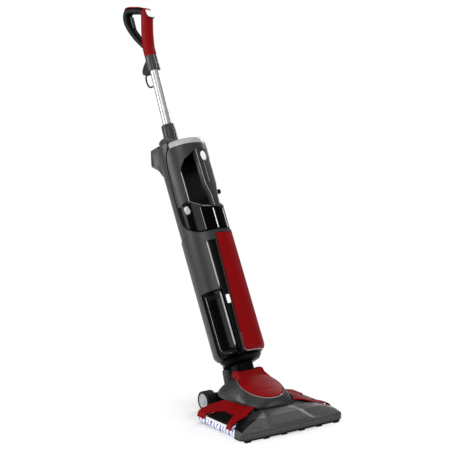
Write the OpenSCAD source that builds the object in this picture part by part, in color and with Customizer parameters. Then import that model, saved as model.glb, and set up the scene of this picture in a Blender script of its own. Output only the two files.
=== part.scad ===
// Upright wet and dry floor scrubber, standing on its head with the column leaning back.
// Millimetres. Z is up, the nose faces -Y, and the origin is on the floor under the head.

/* [Stance] */
// Lean of the column back from vertical
lean = 27.9; // [15:0.1:40]
// Turn of the column on its neck, front towards +X
twist = 17; // [0:1:22]

/* [Head] */
// Width of the nose
head_w = 320; // [300:1:350]
// Nose to the back of the wings
head_d = 198; // [190:1:210]
// Height of the base plate over the floor
base_z = 5; // [4:0.5:7]
// Thickness of the base plate
base_t = 3; // [2:0.5:4]
// Height of the upright front rim
rim_h = 14; // [10:1:18]
// Height of the nose where it passes under the shoe
nose_h = 54; // [50:1:57]
// Wall of the moulded covers
skin = 2.5; // [2:0.1:3]
// Corner cut of the nose in plan
nose_corner = 12; // [6:1:16]
// Rubber teeth along the nose
teeth = 6; // [4:1:8]

/* [Side rollers] */
// Radius over the bristles
roller_r = 17; // [15:0.5:17.5]
// Radius of the bare core
roller_core_r = 13; // [12.5:0.5:14]
// Radius of the motor inside the core
roller_motor_r = 10; // [8:0.5:11]
// Inset of the roller axis from the head's edge
roller_inset = 20; // [20:0.5:22]
// Radius of the roller's stub shafts
stub_r = 4; // [3:0.5:5]

/* [Rear wheels] */
// Wheel radius
wheel_r = 26; // [24:0.5:28]
// Tread width
wheel_w = 30; // [24:1:34]
// Distance over both wheels
wheel_track = 168; // [160:1:180]
// Axle behind the back of the wings
axle_back = 88; // [88:1:96]
// Radius of the axle
axle_r = 4; // [3:0.5:5]

/* [Shoe] */
// Width of the shoe
shoe_w = 156; // [146:1:160]
// Front of the shoe behind the head's centre
shoe_front = -28; // [-32:1:-22]
// Height of the rim of the oval cover at the front
shoe_rim = 73; // [70:1:76]
// Slope of the oval cover's rim
shoe_slope = 15; // [13:0.5:16]
// Pivot behind the back of the wings
pivot_back = 9; // [6:1:12]
// Height of the pivot
pivot_z = 98; // [96:1:100]
// Radius of the pivot pin
pin_r = 5; // [4:0.5:6]
// Radius of the neck's barrel
barrel_r = 20; // [18:0.5:21]
// Gap between the ears
ear_gap = 58; // [54:1:60]
// Thickness of an ear
ear_t = 13; // [10:1:15]

/* [Column] */
// Radius of the lower column
col_r = 70; // [67:0.5:72]
// Pivot to the underside of the column
col_base = 50; // [48:1:54]
// Height of the lower column
lower_h = 342; // [330:1:350]
// Radius of the dirty-water unit
unit_r = 67.5; // [65:0.5:68]
// Height of the dirty-water unit under its cap
unit_h = 249; // [240:1:260]
// Height of the smoked vessel in that unit
vessel_h = 70; // [66:1:76]
// Height of the silver cap
cap_h = 18; // [12:1:24]
// Deepest point of the seam behind the column's axis
part_y = 18; // [16:1:20]
// Bottom rounding of the column
foot_r = 24; // [16:1:28]
// Half angle of the front cover at its top
cover_a = 29; // [26:1:31]

/* [Side tanks] */
// Height of a clean-water tank
tank_h = 177; // [150:1:185]
// Depth of a tank into the column
tank_d = 34; // [24:1:36]
// Length of a tank around the column
tank_l = 47; // [40:1:48]
// Wall of all tanks
tank_wall = 2; // [1.5:0.1:2.5]

/* [Handle] */
// Radius of the pole
pole_r = 12.5; // [11:0.5:13]
// Wall of the pole
pole_wall = 1.5; // [1:0.1:2]
// Visible length of the pole
pole_len = 165; // [140:1:200]
// Height of the collar
collar_h = 50; // [40:1:60]
// Radius of the collar
collar_r = 18.5; // [17:0.5:20]
// Forward tilt of the pole on the column
pole_tilt = 2.5; // [0:0.1:4]
// Pole axis behind the column's axis
pole_y = 26; // [26:0.5:28]
// Width of the handle
grip_w = 29; // [26:1:32]

/* [Fits] */
// Clearance of sliding and pressed parts
slip = 0.5; // [0.3:0.1:0.8]
// Radial clearance of shafts in their bores
run = 0.05; // [0.02:0.01:0.1]

/* [Hidden] */
$fn = 64;
eps = 0.01;
hw = head_w / 2;
front_y = -head_d / 2;
back_y = head_d / 2;
base_top = base_z + base_t;
rim_z = base_top + rim_h;
roller_x = hw - roller_inset;
roller_z = roller_r;
arm_gap = 2;
arm_in = roller_x + roller_r + arm_gap;
arm_t = 2.5;
rear_arm = 31;
front_arm = 27;
front_arm_y = front_y + 42;
bracket_t = 4;
bristle_y0 = front_y + 75;
bristle_y1 = back_y - 5;
shaft_y0 = front_arm_y - 5.5;
shaft_y1 = back_y + 5.5;
wing_x = shoe_w / 2 + 6;
ridge_z = nose_h + 4;
eave_x = roller_x - 18;
eave_z = 45;
wall_x = roller_x - 22;
mouth_x = roller_x - 40;
tongue_w = wheel_track - 2 * wheel_w - 4;
shoe_back = back_y + 70;
shoe_z = base_top + 44;
rim_y = shoe_front + 9;
wheel_y = back_y + axle_back;
pivot_y = back_y + pivot_back;
ear_top = 23;
col_top = col_base + lower_h;
unit_z = col_top + slip;
unit_top = unit_z + unit_h;
vessel_top = unit_z + vessel_h;
cap_top = unit_top + cap_h;
core_r = col_r - 3.5;
tank_z = col_base + 4;
tank_y1 = 5;
tank_y0 = tank_y1 - tank_l;
tank_x = col_r - tank_d;
panel_z = tank_z + tank_h + 2;
panel_a = 104;
foot_in = col_r - foot_r;
motor_r = 44;
motor_h = 74;
motor_z = panel_z + 22;
pipe_r = 13;
pipe_y = 46;
port_r = 11;
port_z = unit_top - 70;
recess_y = -24;
recess_z0 = vessel_top + 3;
recess_z1 = unit_top - 20;
filter_y = -12;
spine_w = 50;
spine_t = 17;
button_z = unit_top - 36;
shoulder_z = cap_top + 22;
hose_x = -18;
hose_r = 12;
spigot_y = 47;
spigot_z = 33;
hose_y0 = shoe_back - 17;
hose_z0 = shoe_z + 4;
hose_y1 = pivot_y + spigot_y * cos(lean) + spigot_z * sin(lean);
hose_z1 = pivot_z - spigot_y * sin(lean) + spigot_z * cos(lean);
hose_tip = atan2(hose_y1 - hose_y0, hose_z1 - hose_z0);
hose_len = norm([hose_y1 - hose_y0, hose_z1 - hose_z0]);
duct_z = hose_z0 - hose_r * sin(hose_tip) - 0.4;
pole_z = shoulder_z + collar_h;
sleeve_z = pole_z + pole_len;
sleeve_h = 55;
grip_z = sleeve_z + sleeve_h;

dark = [0.22, 0.23, 0.23];
black = [0.06, 0.06, 0.07];
red = [0.55, 0.05, 0.07];
smoke = [0.12, 0.12, 0.13];
silver = [0.78, 0.79, 0.8];
steel = [0.6, 0.61, 0.63];
white = [0.9, 0.9, 0.9];
blue = [0.15, 0.18, 0.5];

// ---------- frames and shared shapes ----------

// Neck frame: pivot at the origin, Z up the leaning column, front at -Y.
module at_neck() translate([0, pivot_y, pivot_z]) rotate([-lean, 0, 0]) children();
// Column frame: the neck frame turned on its own axis.
module at_column() at_neck() rotate([0, 0, twist]) children();
// Pole frame: axis of the pole, origin where it leaves the column's shoulder.
module at_pole() at_column() translate([0, pole_y, shoulder_z]) rotate([pole_tilt, 0, 0]) children();
// The +X piece of a pair, or its mirror on -X.
module side(s) mirror([s < 0 ? 1 : 0, 0, 0]) children();

// Extrude an outline drawn in Y and Z along X, from x0 to x1.
module along_x(x0, x1) translate([x0, 0, 0]) rotate([90, 0, 90]) linear_extrude(x1 - x0) children();
// Extrude an outline drawn in X and Z along Y, from y0 to y1.
module along_y(y0, y1) translate([0, y1, 0]) rotate([90, 0, 0]) linear_extrude(y1 - y0) children();
// Cylinder along Y.
module rod_y(r, y0, y1) translate([0, y0, 0]) rotate([-90, 0, 0]) cylinder(r = r, h = y1 - y0);
// Cylinder along X.
module rod_x(r, x0, x1) translate([x0, 0, 0]) rotate([0, 90, 0]) cylinder(r = r, h = x1 - x0);

// Side view of the room in front of the seam, drawn in by i.
module unit_side(i = 0) polygon([[-100, unit_z + i], [part_y - 72, unit_z + i],
    [part_y - 33 - i, unit_z + 12 + i], [part_y - 13 - i, unit_z + 26 + i], [part_y - 5 - i, unit_z + 38 + i], [part_y - i, unit_z + 70],
    [part_y - i, unit_z + 109], [part_y - 5 - i, unit_top - 64], [part_y - 10 - i, unit_top - 27],
    [part_y - 28 - i, cap_top - 11], [part_y - 32 - i, cap_top + 1], [-100, cap_top + 1]]);

// Wedge about the column's axis, between two angles measured from its front.
module wedge(a0, a1, z0, z1) translate([0, 0, z0]) linear_extrude(z1 - z0)
    polygon(concat([[0, 0]], [for (k = [0:6]) let (a = a0 + (a1 - a0) * k / 6)
        [2 * col_r * sin(a), -2 * col_r * cos(a)]]));

// Round column with its foot drawn in, of radius r, from z0 to z1.
module barrel(r, z0, z1, foot = 0) rotate_extrude($fn = 96)
    polygon([[0, z0], [r - foot, z0], [r - 0.62 * foot, z0 + 0.08 * foot], [r - 0.29 * foot, z0 + 0.29 * foot],
        [r - 0.08 * foot, z0 + 0.62 * foot], [r, z0 + foot], [r, z1], [0, z1]]);

// ---------- head ----------

// Plan of the nose, drawn in by i on every side.
module nose_plan(i = 0) {
    half = [[hw - nose_corner, front_y + i], [hw - i, front_y + nose_corner], [hw - i, front_y + 36 - i],
        [hw - 10 - i, front_y + 43 - i], [wing_x - 4 - i, front_y + 66 - i], [wing_x - 16 - i, -i]];
    polygon(concat(half, [for (k = [5:-1:0]) [-half[k][0], half[k][1]]]));
}

// Solid wedge of the nose, drawn in by i.
module nose_body(i = 0) intersection() {
    translate([0, 0, base_top - (i > 0 ? 1 : 0)]) linear_extrude(nose_h) nose_plan(i);
    along_x(-hw, hw) polygon([[front_y + i, 0], [front_y + i, rim_z - i], [front_y + 7, rim_z + 5 - i],
        [front_y + 39, rim_z + 21 - i], [front_y + 69, nose_h - 3 - i], [0, nose_h - i], [0, 0]]);
    along_y(front_y, 0) polygon([[-hw, 0], [-hw, rim_z - i], [-hw + 10, rim_z + 13 - i],
        [-wing_x, nose_h + 1 - i], [wing_x, nose_h + 1 - i], [hw - 10, rim_z + 13 - i], [hw, rim_z - i], [hw, 0]]);
}

module nose_cover() color(dark) difference() {
    nose_body();
    nose_body(skin);
    // Room for the front ends of the rollers
    for (s = [-1, 1]) side(s) translate([roller_x, 0, roller_z])
        rod_y(roller_r + 1.5, shaft_y0 - bracket_t - 1, 0);
}

module base_plate() color(black) difference() {
    union() {
        translate([0, 0, base_z]) linear_extrude(base_t) {
            nose_plan();
            translate([-wall_x - 2, front_y + 30]) square([2 * wall_x + 4, shaft_y1 - front_y - 30]);
            translate([-tongue_w / 2, back_y - 1]) square([tongue_w, shoe_back - back_y + 1]);
        }
        for (s = [-1, 1]) side(s) {
            // Wall beside the roller, which the wing sits on
            translate([wall_x - 2, front_y + 72, base_top - eps]) cube([4, head_d - 84, eave_z - 3 - base_top]);
            // Brackets that hold the roller's stub shafts
            for (y = [shaft_y0 - bracket_t, shaft_y1 - bracket_t]) difference() {
                translate([wall_x - 2, y, base_z])
                    cube([roller_x + 11 - wall_x, bracket_t, roller_z + 8 - base_z]);
                translate([roller_x, 0, roller_z]) rod_y(stub_r + run, y - 1, y + bracket_t + 1);
            }
        }
        // Posts under the shoe, and the walls of the tongue
        for (s = [-1, 1]) side(s) {
            for (y = [shoe_front + 44, back_y - 11]) translate([shoe_w / 2 - 12, y, base_top - eps])
                cube([12, 12, shoe_z - base_top]);
            translate([tongue_w / 2 - 4, back_y - 1, base_top - eps])
                cube([4, shoe_back - back_y - 4, shoe_z - base_top]);
        }
        // Duct up to the foot of the hose
        translate([hose_x, hose_y0, base_top - eps]) cylinder(r = hose_r - 0.5, h = duct_z - base_top);
        // Keel that touches the floor under the middle of the head
        translate([-30, -12, 0]) cube([60, 24, base_z]);
    }
    translate([hose_x, hose_y0, base_top + 4]) cylinder(r = hose_r - 3, h = duct_z);
    translate([hose_x, 0, base_top + 14]) rod_y(7, hose_y0 - 20, hose_y0);
    // Mouth that the dirty water is drawn through
    translate([-mouth_x, front_y + 14, -1]) cube([2 * mouth_x, 14, base_top + 2]);
    // Room for the rollers between their brackets
    for (s = [-1, 1]) side(s) translate([roller_x, 0, roller_z])
        rod_y(roller_r + 1.5, shaft_y0, shaft_y1 - bracket_t);
}

module sole_plate() color(steel) difference() {
    translate([-mouth_x - 5, front_y + 34, base_z - 2]) cube([2 * mouth_x + 10, head_d - 46, 2 - eps]);
    translate([-30 - slip, -12 - slip, 0]) cube([60 + 2 * slip, 24 + 2 * slip, base_z]);
}

module front_squeegee() color(black) {
    pitch = (head_w - 40) / (teeth - 1);
    translate([-hw + 10, front_y + 2, base_z - 2]) cube([head_w - 20, 6, 2 - eps]);
    for (k = [0:teeth - 1]) translate([-hw + 12 + k * pitch, front_y + 2, 0])
        cube([16, k == 0 || k == teeth - 1 ? 10 : 6, base_z - 1]);
}

module rear_squeegee() color(black) translate([-mouth_x, back_y - 8, 0])
    cube([2 * mouth_x, 4, base_z - eps]);

// Section of a wing's sheet, out over the roller and down its outer side.
module wing_section() polygon([[wing_x, ridge_z], [eave_x, eave_z], [roller_x + 9, eave_z - 3],
    [arm_in, roller_z + 15], [arm_in + arm_t, roller_z + 5], [arm_in, roller_z + 5], [arm_in - 2.4, roller_z + 13.5],
    [roller_x + 7.6, eave_z - 6], [eave_x, eave_z - 3.5], [wing_x, ridge_z - 4]]);

// Plan of a wing with its two arms and the window between them.
module wing_plan() polygon([[wing_x - 1, front_y + 68], [arm_in + 3, front_arm_y - front_arm + 27],
    [arm_in + 3, front_arm_y + front_arm - 1], [eave_x + 1.5, front_y + 89], [eave_x + 1.5, back_y - 65],
    [arm_in + 3, back_y - rear_arm + 1], [arm_in + 3, back_y], [eave_x - 12, back_y],
    [wing_x - 1, back_y - 9]]);

module wing(s) color(red) side(s) intersection() {
    along_y(front_y, back_y) wing_section();
    linear_extrude(ridge_z + 1) wing_plan();
}
module left_wing() wing(-1);
module right_wing() wing(1);

module window(s) color(smoke) side(s) intersection() {
    along_y(front_y, back_y) polygon([[eave_x + 1.6, eave_z - 1.2], [arm_in - 6, eave_z - 11],
        [arm_in - 6, eave_z - 13.2], [eave_x + 1.6, eave_z - 3.4]]);
    linear_extrude(ridge_z) polygon([[eave_x + 1.6, front_y + 89.5], [arm_in - 4, front_y + 73],
        [arm_in - 4, back_y - 36.5], [eave_x + 1.6, back_y - 65.5]]);
}
module left_window() window(-1);
module right_window() window(1);

module wiper(s) color(black) side(s) along_y(front_y + 74, back_y - 37.5)
    polygon([[arm_in - 6, eave_z - 11.2], [arm_in - 0.6, roller_z + 9.8], [arm_in - 0.6, roller_z + 7],
        [arm_in - 6, eave_z - 13.4]]);
module left_wiper() wiper(-1);
module right_wiper() wiper(1);

// Outline of the shoe at its foot.
module shoe_foot(i = 0) {
    c = 32;
    translate([0, 0, shoe_z]) linear_extrude(4) for (s = [-1, 1]) {
        for (y = [shoe_front + i + c, shoe_back - i - c]) translate([s * (shoe_w / 2 - c - i), y]) circle(c, $fn = 32);
    }
}
// Rounded back of the shoe, between its foot and its rim.
module shoe_bulge(i = 0) translate([0, pivot_y - 10, pivot_z - 16]) linear_extrude(2) for (s = [-1, 1])
    translate([s * (shoe_w / 2 - 51), 0]) circle(44 - i, $fn = 32);
// Outline of the shoe at its rim, on the slope of the oval cover, of height h and raised by up.
module shoe_rim_plate(i = 0, h = 2, up = 0) translate([0, rim_y, shoe_rim]) rotate([shoe_slope, 0, 0])
    translate([0, 0, up - h]) linear_extrude(h) for (s = [-1, 1]) for (y = [52, 79])
        translate([s * (shoe_w / 2 - 71.5), y]) circle(52 - i, $fn = 32);

module shoe_surround() color(dark) difference() {
    hull() {
        shoe_foot();
        shoe_bulge();
        shoe_rim_plate();
    }
    translate([0, 0, -skin]) hull() {
        translate([0, 0, -1]) shoe_foot(skin);
        shoe_bulge(skin);
        shoe_rim_plate(skin);
    }
    // Openings that the ears of the cover stand in
    translate([-ear_gap / 2 - ear_t - slip, pivot_y - ear_top - slip, shoe_z + 10])
        cube([ear_gap + 2 * ear_t + 2 * slip, 2 * ear_top + 2 * slip, 80]);
    // Slot that the neck swings in, and room beside it for the spigot
    translate([-ear_gap / 2, pivot_y - 30, shoe_z - 1]) cube([ear_gap, 120, 60]);
    translate([hose_x - hose_r - 2, pivot_y + 20, shoe_z - 1]) cube([2 * hose_r, 120, 60]);
    // Socket of the hose
    translate([0, 0, -6]) hose_run(hose_r + 0.3, 40);
    // The back of the nose passes under the shoe
    nose_body(-0.1);
}

// Everything above the slope that the oval cover sits on.
module above_rim() translate([0, rim_y, shoe_rim + 0.1]) rotate([shoe_slope, 0, 0])
    translate([-100, -50, 0]) cube([200, 300, 100]);

module shoe_cover() color(red) difference() {
    union() {
        intersection() {
            hull() {
                shoe_rim_plate(5, 3, 2);
                shoe_rim_plate(26, 2, 9);
                // Lip in front of the neck's barrel
                translate([-ear_gap / 2 - 6, pivot_y - barrel_r - 8, pivot_z + 14]) cube([ear_gap + 12, 6.5, 3]);
            }
            above_rim();
        }
        for (s = [-1, 1]) side(s) {
            translate([0, pivot_y, pivot_z]) rod_x(ear_top, ear_gap / 2, ear_gap / 2 + ear_t);
            translate([ear_gap / 2, pivot_y - ear_top, pivot_z - 22]) cube([ear_t, 2 * ear_top, 22]);
        }
    }
    hull() {
        shoe_rim_plate(9, 6, 1);
        shoe_rim_plate(30, 2, 6);
        translate([-ear_gap / 2, pivot_y - 40, shoe_rim]) cube([ear_gap, 10, 2]);
    }
    // Slot that the neck swings in, and the bore of the pivot pin
    translate([-ear_gap / 2, pivot_y - barrel_r - 1.5, shoe_rim - 10]) cube([ear_gap, 90, 60]);
    translate([0, pivot_y, pivot_z]) rod_x(pin_r + run, -60, 60);
}

module pivot_pin() color(steel) translate([0, pivot_y, pivot_z])
    rod_x(pin_r, -ear_gap / 2 - ear_t, ear_gap / 2 + ear_t);

module axle_bracket() color(black) difference() {
    union() {
        along_x(-tongue_w / 2 + 2, tongue_w / 2 - 2) polygon([[shoe_back - 5, base_top], [wheel_y, 14],
            [wheel_y + 11, 20], [wheel_y + 11, 34], [wheel_y - 2, 44], [shoe_back - 5, shoe_z - 1]]);
    }
    translate([0, wheel_y, wheel_r]) rod_x(axle_r + run, -60, 60);
}

module wheel_axle() color(steel) translate([0, wheel_y, wheel_r])
    rod_x(axle_r, -wheel_track / 2 + 3, wheel_track / 2 - 3);

module wheel_hub(s) color(silver) side(s) translate([wheel_track / 2 - wheel_w, wheel_y, wheel_r]) difference() {
    union() {
        rod_x(wheel_r - 6, 0, wheel_w - 1);
        rod_x(9, wheel_w - 2, wheel_w + 1.5);
    }
    rod_x(axle_r + run, -1, wheel_w - 3);
}
module left_wheel_hub() wheel_hub(-1);
module right_wheel_hub() wheel_hub(1);

module wheel_tyre(s) color(black) side(s) translate([wheel_track / 2 - wheel_w, wheel_y, wheel_r]) difference() {
    rod_x(wheel_r, 0, wheel_w);
    rod_x(wheel_r - 6, -1, wheel_w + 1);
}
module left_wheel_tyre() wheel_tyre(-1);
module right_wheel_tyre() wheel_tyre(1);

// ---------- side rollers ----------

module roller_motor(s) color(steel) side(s) translate([roller_x, 0, roller_z]) {
    rod_y(roller_motor_r, bristle_y0 + 8, bristle_y1 - 40);
    rod_y(stub_r, shaft_y0 - bracket_t, shaft_y1);
}
module left_roller_motor() roller_motor(-1);
module right_roller_motor() roller_motor(1);

module roller_core(s) color(blue) side(s) translate([roller_x, 0, roller_z]) difference() {
    union() {
        rod_y(roller_core_r, front_arm_y - 5, back_y + 1);
        rod_y(roller_r - 1.5, front_arm_y - 5, bristle_y0 - 1);
        rod_y(roller_r - 1.5, bristle_y1 + 1, back_y + 1);
    }
    rod_y(roller_core_r - 2, bristle_y0 + 2, bristle_y1 - 4);
    rod_y(stub_r + run, front_arm_y - 10, back_y + 10);
}
module left_roller_core() roller_core(-1);
module right_roller_core() roller_core(1);

module roller_bristles(s) color(white) side(s) translate([roller_x, 0, roller_z]) difference() {
    rod_y(roller_r, bristle_y0, bristle_y1);
    rod_y(roller_core_r, bristle_y0 - 1, bristle_y1 + 1);
}
module left_roller_bristles() roller_bristles(-1);
module right_roller_bristles() roller_bristles(1);

// ---------- neck ----------

// Straight run of the hose from its socket in the shoe, of radius r and length h.
module hose_run(r, h) translate([hose_x, hose_y0, hose_z0]) rotate([-hose_tip, 0, 0]) cylinder(r = r, h = h);

module suction_hose() color(dark) difference() {
    hose_run(hose_r, hose_len - 0.3);
    translate([0, 0, -2]) hose_run(hose_r - 2.5, hose_len + 4);
}

module neck_yoke() color(black) at_neck() difference() {
    union() {
        rod_x(barrel_r, -ear_gap / 2 + 1, ear_gap / 2 - 1);
        translate([-20, -15, 0]) cube([40, 30, 38]);
        rotate_extrude($fn = 96) polygon([[0, 34], [34, 34], [48, 39], [56, col_base - slip], [0, col_base - slip]]);
        cylinder(r = 18, h = col_base + 8);
        translate([hose_x, spigot_y, spigot_z]) rotate([lean - hose_tip, 0, 0]) cylinder(r = hose_r, h = 12);
    }
    rod_x(pin_r + run, -60, 60);
    translate([0, 0, barrel_r + 3]) cylinder(r = 13, h = 60);
    // Duct from the hose to the middle
    translate([hose_x, spigot_y, spigot_z]) rotate([lean - hose_tip, 0, 0]) translate([0, 0, -1]) cylinder(r = 7, h = 11);
    rotate([0, 0, atan2(-hose_x, spigot_y)]) translate([0, 0, 43]) rod_y(4.5, 5, norm([hose_x, spigot_y]));
}

module swivel_ring() color(black) at_neck() translate([0, 0, col_base + 4.3]) difference() {
    cylinder(r = 24, h = 3.7);
    translate([0, 0, -1]) cylinder(r = 18 + run, h = 6);
}

// ---------- lower column ----------

// Pocket of a side tank, grown by g.
module tank_block(g) translate([tank_x - g, tank_y0 - g, tank_z - g]) cube([tank_d + 10, tank_l + 2 * g, tank_h + 2 * g]);

module core_frame() color(black) at_column() difference() {
    barrel(core_r, col_base, col_top, foot_r - 3.5);
    difference() {
        translate([0, 0, 4]) barrel(core_r - 2.5, col_base, col_top - 8, foot_r - 5);
        // Shelf that carries the motor
        translate([0, 0, motor_z - 4]) cylinder(r = core_r, h = 4);
        // Walls round the tank pockets
        for (s = [-1, 1]) side(s) {
            tank_block(slip + 2.5);
            latch_at() translate([-8, -9, -15]) cube([16, 17, 30]);
        }
    }
    for (s = [-1, 1]) side(s) {
        tank_block(slip);
        latch_at() translate([-5 - slip, -9, -12 - slip]) cube([10 + 2 * slip, 14 + slip, 24 + 2 * slip]);
    }
    // Bearing of the neck's spigot, and the holes of the suction pipe
    translate([0, 0, col_base - 1]) cylinder(r = 18 + run, h = 6);
    translate([0, pipe_y, motor_z - 5]) cylinder(r = pipe_r + run, h = col_top);
}

module panel(s) color(dark) at_column() side(s) difference() {
    intersection() {
        difference() {
            barrel(col_r, panel_z, col_top - 1);
            translate([0, 0, -1]) cylinder(r = core_r + eps, h = col_top + 2);
        }
        wedge(cover_a - 4, panel_a, panel_z - 1, col_top + 1);
    }
    along_y(-100, 0) cover_face(1);
    // Long groove in front of the tank
    intersection() {
        wedge(37, 53, panel_z + 6, col_top - 28);
        cylinder(r = 2 * col_r, h = col_top);
    }
}
module left_panel() panel(-1);
module right_panel() panel(1);

// Front view of the cover, wider at the foot, grown by g.
module cover_face(g = 0) {
    top = col_r * sin(cover_a) + g;
    foot = top + 9;
    half = [[top, col_top + g], [foot, col_base + 16], [foot - 2.3, col_base + 10.3 - g], [foot - 8, col_base + 8 - g]];
    polygon(concat(half, [for (k = [3:-1:0]) [-half[k][0], half[k][1]]]));
}

module front_cover() color(red) at_column() intersection() {
    difference() {
        barrel(col_r, col_base + 3, col_top, foot_r);
        translate([0, 0, -1]) barrel(core_r + eps, col_base + 1, col_top + 2, foot_r - 3.5);
    }
    along_y(-100, -20) cover_face();
}

// Rear of the column above the lower part, with a wall along the seam.
module rear_top() difference() {
    translate([0, 0, col_top]) cylinder(r = unit_r, h = cap_top - col_top, $fn = 96);
    along_x(-100, 100) unit_side(-slip);
    difference() {
        translate([0, 0, col_top + skin]) cylinder(r = unit_r - skin, h = cap_top - col_top - 2 * skin, $fn = 96);
        along_x(-100, 100) unit_side(-slip - skin);
    }
    translate([0, pipe_y, col_top - 1]) cylinder(r = pipe_r + run, h = 10);
    translate([0, 0, port_z]) rod_y(port_r + run, 0, pipe_y);
}

module rear_shell() color(dark) at_column() difference() {
    union() {
        rear_top();
        intersection() {
            difference() {
                barrel(col_r, col_base, col_top, foot_r);
                translate([0, 0, -1]) barrel(core_r + eps, col_base + 1, col_top + 2, foot_r - 3.5);
            }
            wedge(panel_a + 0.8, 360 - panel_a - 0.8, 0, cap_top);
        }
        // Shoulder that carries the collar
        intersection() {
            translate([0, 0, cap_top - skin]) cylinder(r = unit_r - 11, h = 22 + skin);
            translate([-60, pole_y - collar_r - 2.5, 0]) cube([120, 80, shoulder_z + 1]);
        }
        // Lower cord lug on the back
        along_x(-25, 25) polygon([[col_r - 14, cap_top + 22], [col_r + 18, cap_top + 21], [col_r + 30, cap_top - 17],
            [col_r + 23, cap_top - 31], [col_r + 8, cap_top - 46], [col_r - 2, cap_top - 66],
            [col_r - 6, cap_top - 66], [col_r - 14, cap_top - 4]]);
    }
    // Bore of the pole's socket
    translate([0, pole_y, shoulder_z]) rotate([pole_tilt, 0, 0]) translate([0, 0, -40])
        cylinder(r = collar_r + run, h = 60);
}

module suction_pipe() color(black) at_column() {
    elbow_z = col_base + 34;
    foot_z = col_base + 9;
    tip = atan2(pipe_y, elbow_z - foot_z);
    difference() {
        union() {
            translate([0, pipe_y, elbow_z]) cylinder(r = pipe_r, h = port_z + 14 - elbow_z);
            translate([0, pipe_y, elbow_z]) sphere(pipe_r + 1);
            translate([0, 0, foot_z]) rotate([-tip, 0, 0]) cylinder(r = port_r, h = norm([pipe_y, elbow_z - foot_z]));
            translate([0, 0, port_z]) rod_y(port_r, part_y - 3, pipe_y);
        }
        translate([0, pipe_y, elbow_z]) cylinder(r = pipe_r - 2, h = port_z + 10 - elbow_z);
        translate([0, 0, foot_z]) rotate([-tip, 0, 0]) translate([0, 0, -20])
            cylinder(r = port_r - 2, h = norm([pipe_y, elbow_z - foot_z]) + 20);
        translate([0, 0, port_z]) rod_y(port_r - 2, part_y - 4, pipe_y);
        // The foot is cut level over the neck's spigot
        translate([-30, -30, foot_z - 30]) cube([60, 60, 30]);
    }
}

module suction_motor() color(steel) at_column() difference() {
    union() {
        translate([0, -18, motor_z]) cylinder(r = motor_r, h = motor_h);
        translate([0, -18, motor_z + motor_h - eps]) cylinder(r = motor_r - 6, h = 6);
    }
    translate([0, -18, motor_z + motor_h - 22]) cylinder(r = motor_r - 8, h = 40);
    translate([0, -18, motor_z + 10]) cylinder(r = 3 + run, h = motor_h);
}

module fan_impeller() color(steel) at_column() translate([0, -18, 0]) {
    translate([0, 0, motor_z + 11]) cylinder(r = 3, h = motor_h - 14);
    translate([0, 0, motor_z + motor_h - 18]) cylinder(r = motor_r - 12, h = 3);
    for (k = [0:7]) rotate([0, 0, 45 * k]) translate([6, -1, motor_z + motor_h - 15 - eps])
        cube([motor_r - 20, 2, 10]);
}

module control_board() color([0.1, 0.35, 0.2]) at_column() translate([-30, -core_r + 18, motor_z - 7])
    cube([60, 40, 3]);

module water_pump() color(steel) at_column() translate([0, -30, col_base + 4]) {
    translate([-22, -14, 40]) cube([44, 26, 60]);
    translate([0, -1, 0]) cylinder(r = 5, h = 41);
}

// ---------- pole and handle ----------

module pole_socket() color(black) at_pole() difference() {
    union() {
        translate([0, 0, -38]) cylinder(r = collar_r, h = 38 + collar_h);
        translate([0, 0, -80]) cylinder(r = pole_r + 2, h = 43);
    }
    translate([0, 0, -78]) cylinder(r = pole_r + run, h = 200);
}

module pole() color(silver) at_pole() translate([0, 0, -76]) difference() {
    cylinder(r = pole_r, h = 76 + collar_h + pole_len + sleeve_h - 4);
    translate([0, 0, -1]) cylinder(r = pole_r - pole_wall, h = 400);
}

sleeve_p = collar_h + pole_len;
grip_p = sleeve_p + sleeve_h;
module handle_sleeve() color(dark) at_pole() translate([0, 0, sleeve_p]) difference() {
    union() {
        cylinder(r1 = 16.5, r2 = grip_w / 2, h = sleeve_h);
        // Block that the cord hook hangs in
        translate([-8, 8, -5]) cube([16, 21, 34]);
    }
    translate([0, 0, -10]) cylinder(r = pole_r + run, h = sleeve_h + 6);
    // Slot of the cord hook
    translate([-3.5, 18, -8]) cube([7, 20, 20]);
    translate([0, 23, 4]) rod_x(1.5 + run, -10, 10);
}

// Centre line of the stem and of the loop, in the pole frame above the sleeve.
stem = [[0, 0], [0, 24], [-6, 55], [-17, 80], [-26, 108]];
loop = [[-14, 122], [14, 138], [42, 148], [54, 134], [55, 108], [44, 76], [18, 32]];

module handle_grip() color(red) at_pole() translate([0, 0, grip_p]) {
    r = grip_w / 2;
    difference() {
        for (k = [0:3]) hull() for (j = [k, k + 1]) translate([0, stem[j][0], stem[j][1]])
            cylinder(r = r, h = j == 4 ? 10 : 1, $fn = 40);
        // Pocket of the power button
        translate([0, stem[4][0] - r + 2, stem[4][1]]) rotate([-12, 0, 0]) translate([-11, -10, -12]) cube([22, 13, 22]);
    }
}

module handle_loop() color(black) at_pole() translate([0, 0, grip_p]) difference() {
    union() for (k = [0:5]) hull() for (j = [k, k + 1]) translate([0, loop[j][0], loop[j][1]])
        rod_x(9, -grip_w / 2 + 1, grip_w / 2 - 1, $fn = 24);
    for (k = [0:3]) hull() for (j = [k, k + 1]) translate([0, stem[j][0], stem[j][1]])
        cylinder(r = grip_w / 2 + eps, h = j == 4 ? 10 : 1, $fn = 40);
    // Slot of the spray trigger
    translate([-6.5, 35.5, 84]) cube([13, 14.5, 40]);
}

module power_button() color(white) at_pole() translate([0, 0, grip_p])
    translate([0, stem[4][0] - grip_w / 2 + 2, stem[4][1]]) rotate([-12, 0, 0])
        translate([-11 + slip, -3, -12 + slip]) cube([22 - 2 * slip, 4, 22 - 2 * slip]);

module spray_trigger() color(dark) at_pole() translate([-6, 36, grip_p + 86]) cube([12, 7, 36]);

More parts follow.
